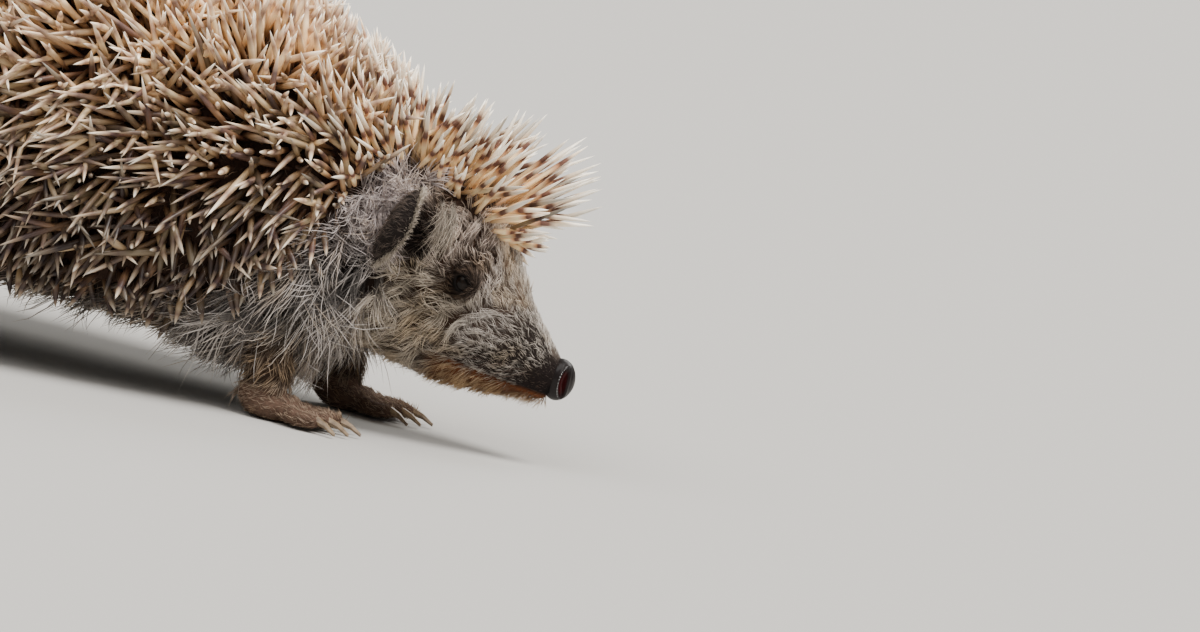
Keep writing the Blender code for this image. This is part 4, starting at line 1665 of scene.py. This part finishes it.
@dataclass
class FurCoat:
    """Hair over everything that the spines leave free, and sparse hair between the spines."""

    plan: BodyPlan
    surface: Surface
    wave: float = 9.0  # size of the patches that lean the same way
    patch: float = 6.0  # and of those that are paler, darker or browner
    gather: float = 0.3  # how far a lock's tips come together
    clear: float = 0.3  # between the floor and the lowest hair
    sunk: float = 0.15  # of each root, below the skin
    stray: tuple = (0.9, 0.35, 1.2)  # how far a hair strays with its lock, by itself and with its patch
    lean_spread: tuple = (8, 5)  # degrees, with its lock and by itself
    lean_limits: tuple = (15, 84)
    length_spread: tuple = (0.65, 0.95)
    fair_tones: tuple = (0.65, 1.0)
    dark_tones: tuple = (0.0, 0.22)
    stragglers: float = 0.03  # the share of hairs that are longer than the rest
    straggler_length: float = 1.4
    browning: tuple = (0.02, 0.10, 0.22)  # what a brown patch takes from red, green and blue
    head_end: float = 46.0  # behind the nose tip, where the pieces meet
    face_end: float = 27.0
    ruff_from: float = 38.0  # along X
    leg_top: float = 18.0
    seed: int = 11

    def leaders(self, points: np.ndarray, chance: np.ndarray, rng: np.random.Generator) -> np.ndarray:
        """Gathers hairs into locks.

        Args:
            points: The roots.
            chance: How likely each hair is to lead a lock.
            rng: The source of chance.

        Returns:
            For each hair, the index of the nearest hair that leads a lock.
        """
        chosen = np.nonzero(rng.uniform(size=len(points)) < chance)[0]
        tree = KDTree(len(chosen))
        for index in chosen.tolist():
            tree.insert(points[index], index)
        tree.balance()
        return np.array([tree.find(point)[1] for point in points])

    def grow(self) -> Tufts:
        """Roots, directions and paint of all hairs.

        Returns:
            The hairs.
        """
        rng = np.random.default_rng(self.seed)
        centres = self.surface.centres
        density = self.plan.weights(centres) @ column("density")
        density *= 1 - self.plan.bare(centres)
        density *= 1 + 5 * ramp(56, 66, centres[:, 0]) * (self.plan.over_edge(centres) > 1.5)
        points, normals = self.surface.scatter(density, rng)
        shares = self.plan.weights(points)
        value = {name: shares @ column(name) for name in Pelt.__dataclass_fields__ if name != "depth"}
        count = len(points)
        leader = self.leaders(points, 1 / (value["density"] * value["lock"] ** 2), rng)
        drift = wander(points, self.wave)
        lie = self.plan.lie(points, normals, value["droop"])
        across = np.cross(normals, lie)
        own = rng.normal(size=count)
        with_lock, alone, with_patch = self.stray
        stray = with_lock * own[leader] + alone * rng.normal(size=count)
        stray = stray + with_patch * np.sum(drift * across, axis=1)
        stray *= np.radians(value["scatter"])
        lie = lie * np.cos(stray)[:, None] + across * np.sin(stray)[:, None]
        across = np.cross(normals, lie)
        with_lock, alone = self.lean_spread
        lean = value["lean"] + with_lock * rng.normal(size=count)[leader] + alone * rng.normal(size=count)
        lean = np.radians(np.clip(lean, *self.lean_limits))
        way = normals * np.cos(lean)[:, None] + lie * np.sin(lean)[:, None]
        patch = wander(points, self.patch)
        mottle = (0.25 + 0.45 * ramp(3.0, 9.0, value["length"])) * patch[:, 0]
        lock_pale = value["pale"] + 0.30 * rng.normal(size=count)[leader] + mottle
        fair = rng.uniform(size=count) < lock_pale
        tone = np.where(fair, rng.uniform(*self.fair_tones, count), rng.uniform(*self.dark_tones, count))
        length = value["length"] * rng.uniform(*self.length_spread, count) * (0.75 + 0.4 * tone)
        length *= np.where(rng.uniform(size=count) < self.stragglers, self.straggler_length, 1.0)
        aside = value["curl"] * (rng.normal(size=count)[leader] + 0.5 * rng.normal(size=count))
        bend = -normals * (0.30 * np.cos(lean) * length)[:, None]
        bend = bend + across * (aside * length)[:, None]
        bend[:, 2] -= 0.16 * length * np.clip(value["droop"], 0, 1)
        way = way * length[:, None]
        tip_place = points + way + bend
        gather = self.gather * ramp(2.0, 8.0, value["length"])[:, None]
        bend = bend + (tip_place[leader] - tip_place) * gather
        way[:, 2] = np.maximum(way[:, 2], self.clear - points[:, 2])
        bend[:, 2] = np.maximum(bend[:, 2], self.clear - points[:, 2] - way[:, 2])
        tone = tone[:, None]
        tip = value["tip"] * (0.15 + tone) + value["root"] * (0.5 * (1 - tone))
        brown = ramp(0.0, 0.5, patch[:, 1])[:, None]
        tip = tip * (1 - brown * self.browning)
        root = value["root"] * rng.uniform(0.7, 1.2, (count, 1)) + tip * 0.12
        radii = value["width"] / 2 * rng.uniform(0.75, 1.1, count) * (0.85 + 0.3 * fair)
        return Tufts(points - normals * self.sunk, way, bend, radii, root, tip)

    def build(self) -> None:
        """Builds the hair in pieces from the nose to the tail."""
        tufts = self.grow()
        full = Template(3, (0.0, 0.35, 0.72), (0.75, 1.0, 0.72))
        short = Template(3, (0.0, 0.5), (0.85, 0.95))
        plain = ("fur_muzzle", "fur_head_left", "fur_head_right", "fur_legs", "fur_between_spines")
        material = HairFinish().material()
        behind, _ = self.plan.on_head(tufts.roots)
        x, y, z = tufts.roots.T
        spiny = self.plan.over_edge(tufts.roots) > 1.5
        head = (behind < self.head_end) & ~spiny
        face = head & (behind < self.face_end)
        ruff = ~head & ~spiny & (x > self.ruff_from)
        rest = ~head & ~spiny & ~ruff
        low = rest & (self.plan.near_soles(tufts.roots, 2.0) > 0.5) & (z < self.leg_top)
        parts = {
            "fur_muzzle": face,
            "fur_head_left": head & ~face & (y >= 0),
            "fur_head_right": head & ~face & (y < 0),
            "fur_ruff_left": ruff & (y >= 0),
            "fur_ruff_right": ruff & (y < 0),
            "fur_legs": low,
            "fur_flank_left": rest & ~low & (y >= 0),
            "fur_flank_right": rest & ~low & (y < 0),
            "fur_between_spines": spiny,
        }
        for name, keep in parts.items():
            template = short if name in plain else full
            mesh = tufts.chosen(keep).mesh(name, template, self.plan, "tint")
            add_piece(name, mesh, material)
        LOG.info("hairs: %d", len(x))


@dataclass
class Strands:
    """Tufts gathered one by one, all as thick as each other."""

    radius: float
    root_share: float = 0.4  # how dark the roots are beside the tips
    rows: list = field(default_factory=list)

    def add(self, root: np.ndarray, way: np.ndarray, bend: np.ndarray, tip: np.ndarray) -> None:
        """Adds a tuft: its root, its way, its bend and its tip's colour."""
        self.rows.append((root, way, bend, tip))

    def build(self, name: str, template: Template, plan: BodyPlan) -> None:
        """Builds the gathered tufts as one piece of the face's fur.

        Args:
            name: The piece's name.
            template: The tuft to repeat.
            plan: Gives each root's place on the unwrapped skin.
        """
        roots, ways, bends, tips = (np.array(part) for part in zip(*self.rows))
        radii = np.full(len(roots), self.radius)
        tufts = Tufts(roots, ways, bends, radii, tips * self.root_share, tips)
        hair = bpy.data.materials["hair"]  # made with the fur coat
        add_piece(name, tufts.mesh(name, template, plan, "tint"), hair)


@dataclass
class EarFringe:
    """The pale fuzz along the rim of each ear, and longer hairs that hang across its opening."""

    plan: BodyPlan
    fuzz: int = 1500
    hanging: int = 130
    behind: int = 340
    radius: float = 0.065
    long: tuple = (6.0, 10.5)  # the shortest and the longest of the long hairs
    pale: Colour = linear(222, 208, 190)
    mauve: Colour = linear(230, 214, 210)
    seed: int = 23

    def build(self) -> None:
        """Builds the fringe of both ears as one piece."""
        rng = np.random.default_rng(self.seed)
        strands = Strands(self.radius)
        pale, mauve = np.array(self.pale), np.array(self.mauve)
        for _, side in SIDES:
            ear = Ear(self.plan, side)
            middle = self.plan.ear * (1, side, 1)
            for _ in range(self.fuzz):
                place, outwards = ear.rim(rng.uniform(-1.5, 1.9))
                way = direction(outwards + rng.normal(0, 0.35, 3))
                strands.add(
                    place - outwards * 0.7 + rng.normal(0, 0.16, 3),
                    way * rng.uniform(0.8, 1.8),
                    rng.normal(0, 0.2, 3),
                    pale * rng.uniform(0.4, 1.0),
                )
            for _ in range(self.hanging):
                place = middle + np.array([rng.uniform(7, 11), 0, rng.uniform(1, 8)])
                way = direction(np.array((0.55, 0.45 * side, -0.75)) + rng.normal(0, 0.22, 3))
                strands.add(
                    place + (0, -4.5 * side, 0),
                    way * rng.uniform(*self.long),
                    np.array([-5.0, -0.5 * side, -1.4]) + rng.normal(0, 0.8, 3),
                    pale * rng.uniform(0.35, 1.15),
                )
            for _ in range(self.behind):
                place = middle + (rng.uniform(-8, -4), rng.uniform(-7, -4) * side, rng.uniform(-8, 6))
                way = direction(np.array((0.35, 0.75 * side, 0.25)) + rng.normal(0, 0.4, 3))
                strands.add(
                    place,
                    way * rng.uniform(*self.long),
                    rng.normal(0, 1.0, 3),
                    mauve * rng.uniform(0.45, 1.1),
                )
        strands.build("fur_ear_fringe", Template(3, (0.0, 0.35, 0.72), (0.9, 1.0, 0.7)), self.plan)


@dataclass
class Whiskers:
    """A few fine whiskers at each side of the muzzle."""

    plan: BodyPlan
    each_side: int = 16
    radius: float = 0.07
    colour: Colour = linear(46, 36, 30)  # at the root
    paler: float = 2.5  # at the tip
    seed: int = 31

    def build(self) -> None:
        """Builds all whiskers as one piece."""
        rng = np.random.default_rng(self.seed)
        strands = Strands(self.radius, 1 / self.paler)
        tip = np.array(self.colour) * self.paler
        for _, side in SIDES:
            for _ in range(self.each_side):
                behind = rng.uniform(8, 20)
                over = float(self.plan.mouth_line(np.array(behind))) + rng.uniform(1.5, 5.0)
                root = self.plan.head_point(behind, over, side * (4.2 + 0.30 * behind))
                way = -self.plan.forward * rng.uniform(0.2, 0.9) + np.array([0, side * 0.8, -0.25])
                way = way + rng.normal(0, 0.12, 3)
                way = way / np.linalg.norm(way) * rng.uniform(7, 13)
                strands.add(root, way, np.array([-1.5, 0.0, -1.6]), tip)
        strands.build("whiskers", Template(4, (0.0, 0.2, 0.45, 0.7), (1.0, 0.9, 0.7, 0.45)), self.plan)


# ------------------------------------------------------------------ studio


def outwards_at(azimuth: float, rise: float) -> Vector:
    """The way from the animal, by degrees from its right towards its front, and over the horizon."""
    turn, tilt = math.radians(azimuth), math.radians(rise)
    return Vector((math.sin(turn) * math.cos(tilt), -math.cos(turn) * math.cos(tilt), math.sin(tilt)))


def aim(thing: bpy.types.Object, place: Vector, away: Vector, roll: float = 0.0) -> None:
    """Puts a light or a camera in place and turns it.

    Args:
        thing: The light or the camera.
        place: Where it goes, in metres.
        away: The way from what it looks at.
        roll: How far it is tilted sideways, in degrees.
    """
    thing.location = place
    thing.rotation_mode = "QUATERNION"
    level = (-away).to_track_quat("-Z", "Y")
    thing.rotation_quaternion = level @ Quaternion((0, 0, 1), math.radians(roll))


@dataclass(frozen=True)
class Lamp:
    """A far, soft light."""

    name: str
    azimuth: float  # degrees from the animal's right towards its front
    rise: float  # degrees over the horizon
    spread: float  # how many degrees wide it looks; wider is softer
    power: float
    colour: Colour

    def build(self) -> None:
        """Hangs the light."""
        data = bpy.data.lights.new(self.name, "SUN")
        data.angle = math.radians(self.spread)
        data.energy = self.power
        data.color = self.colour
        away = outwards_at(self.azimuth, self.rise)
        aim(add_object(self.name, data), away, away)


@dataclass
class Studio:
    """A pale floor, soft lights and the camera."""

    plan: BodyPlan
    floor_size: float = 20.0  # metres
    distance: float = 1.6  # metres
    azimuth: float = 8.0  # degrees from the animal's right side towards its front
    elevation: float = 6.0
    roll: float = 12.0
    sensor: float = 36.0
    view_width: float = 273.0  # millimetres across the picture at the animal
    ahead: float = 2.3  # the picture's middle, from the nose tip
    over: float = 16.4
    sky: Colour = (0.93, 0.92, 0.9)
    sky_strength: float = 0.38
    lamps: tuple = (
        Lamp("key", 66.0, 62.0, 28.0, 4.4, (1.0, 0.97, 0.93)),
        Lamp("fill", -35.0, 58.0, 50.0, 1.9, (1.0, 0.98, 0.96)),
        Lamp("back", 160.0, 40.0, 40.0, 1.4, (1.0, 0.98, 0.94)),
    )

    def floor(self) -> None:
        """A large plain floor."""
        bm = bmesh.new()
        bmesh.ops.create_grid(bm, x_segments=1, y_segments=1, size=self.floor_size)
        mesh = made_mesh("floor", bm)
        mesh.materials.append(FloorFinish().material())
        floor = add_object("floor", mesh)

    def camera(self) -> None:
        """Looks at the animal from the right, a little in front of it, tilted downhill."""
        away = outwards_at(self.azimuth, self.elevation)
        target = Vector(self.plan.nose + (self.ahead, 0.0, self.over)) * MM
        data = bpy.data.cameras.new("camera")
        data.sensor_width = self.sensor
        data.lens = data.sensor_width * self.distance / (self.view_width * MM)
        camera = add_object("camera", data)
        aim(camera, target + away * self.distance, away, self.roll)
        bpy.context.scene.camera = camera

    def surroundings(self) -> None:
        """An even pale sky."""
        world = bpy.data.worlds.new("surroundings")
        world.use_nodes = True
        sky = world.node_tree.nodes["Background"]
        sky.inputs["Color"].default_value = (*self.sky, 1.0)
        sky.inputs["Strength"].default_value = self.sky_strength
        bpy.context.scene.world = world

    def build(self) -> None:
        """Builds the floor, the lights, the surroundings and the camera."""
        self.floor()
        for lamp in self.lamps:
            lamp.build()
        self.surroundings()
        self.camera()


def main() -> None:
    """Builds the animal and its studio in order."""
    logging.basicConfig(level=logging.INFO, format="%(message)s")
    plan = BodyPlan()
    Studio(plan).build()
    skin = Skin(plan).build()
    Eyes(plan).build()
    Nose(plan).build()
    Claws().build()
    surface = Surface(skin.data)
    SpinyCoat(plan, surface).build()
    FurCoat(plan, surface).build()
    EarFringe(plan).build()
    Whiskers(plan).build()
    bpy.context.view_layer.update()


if __name__ == "__main__":
    main()
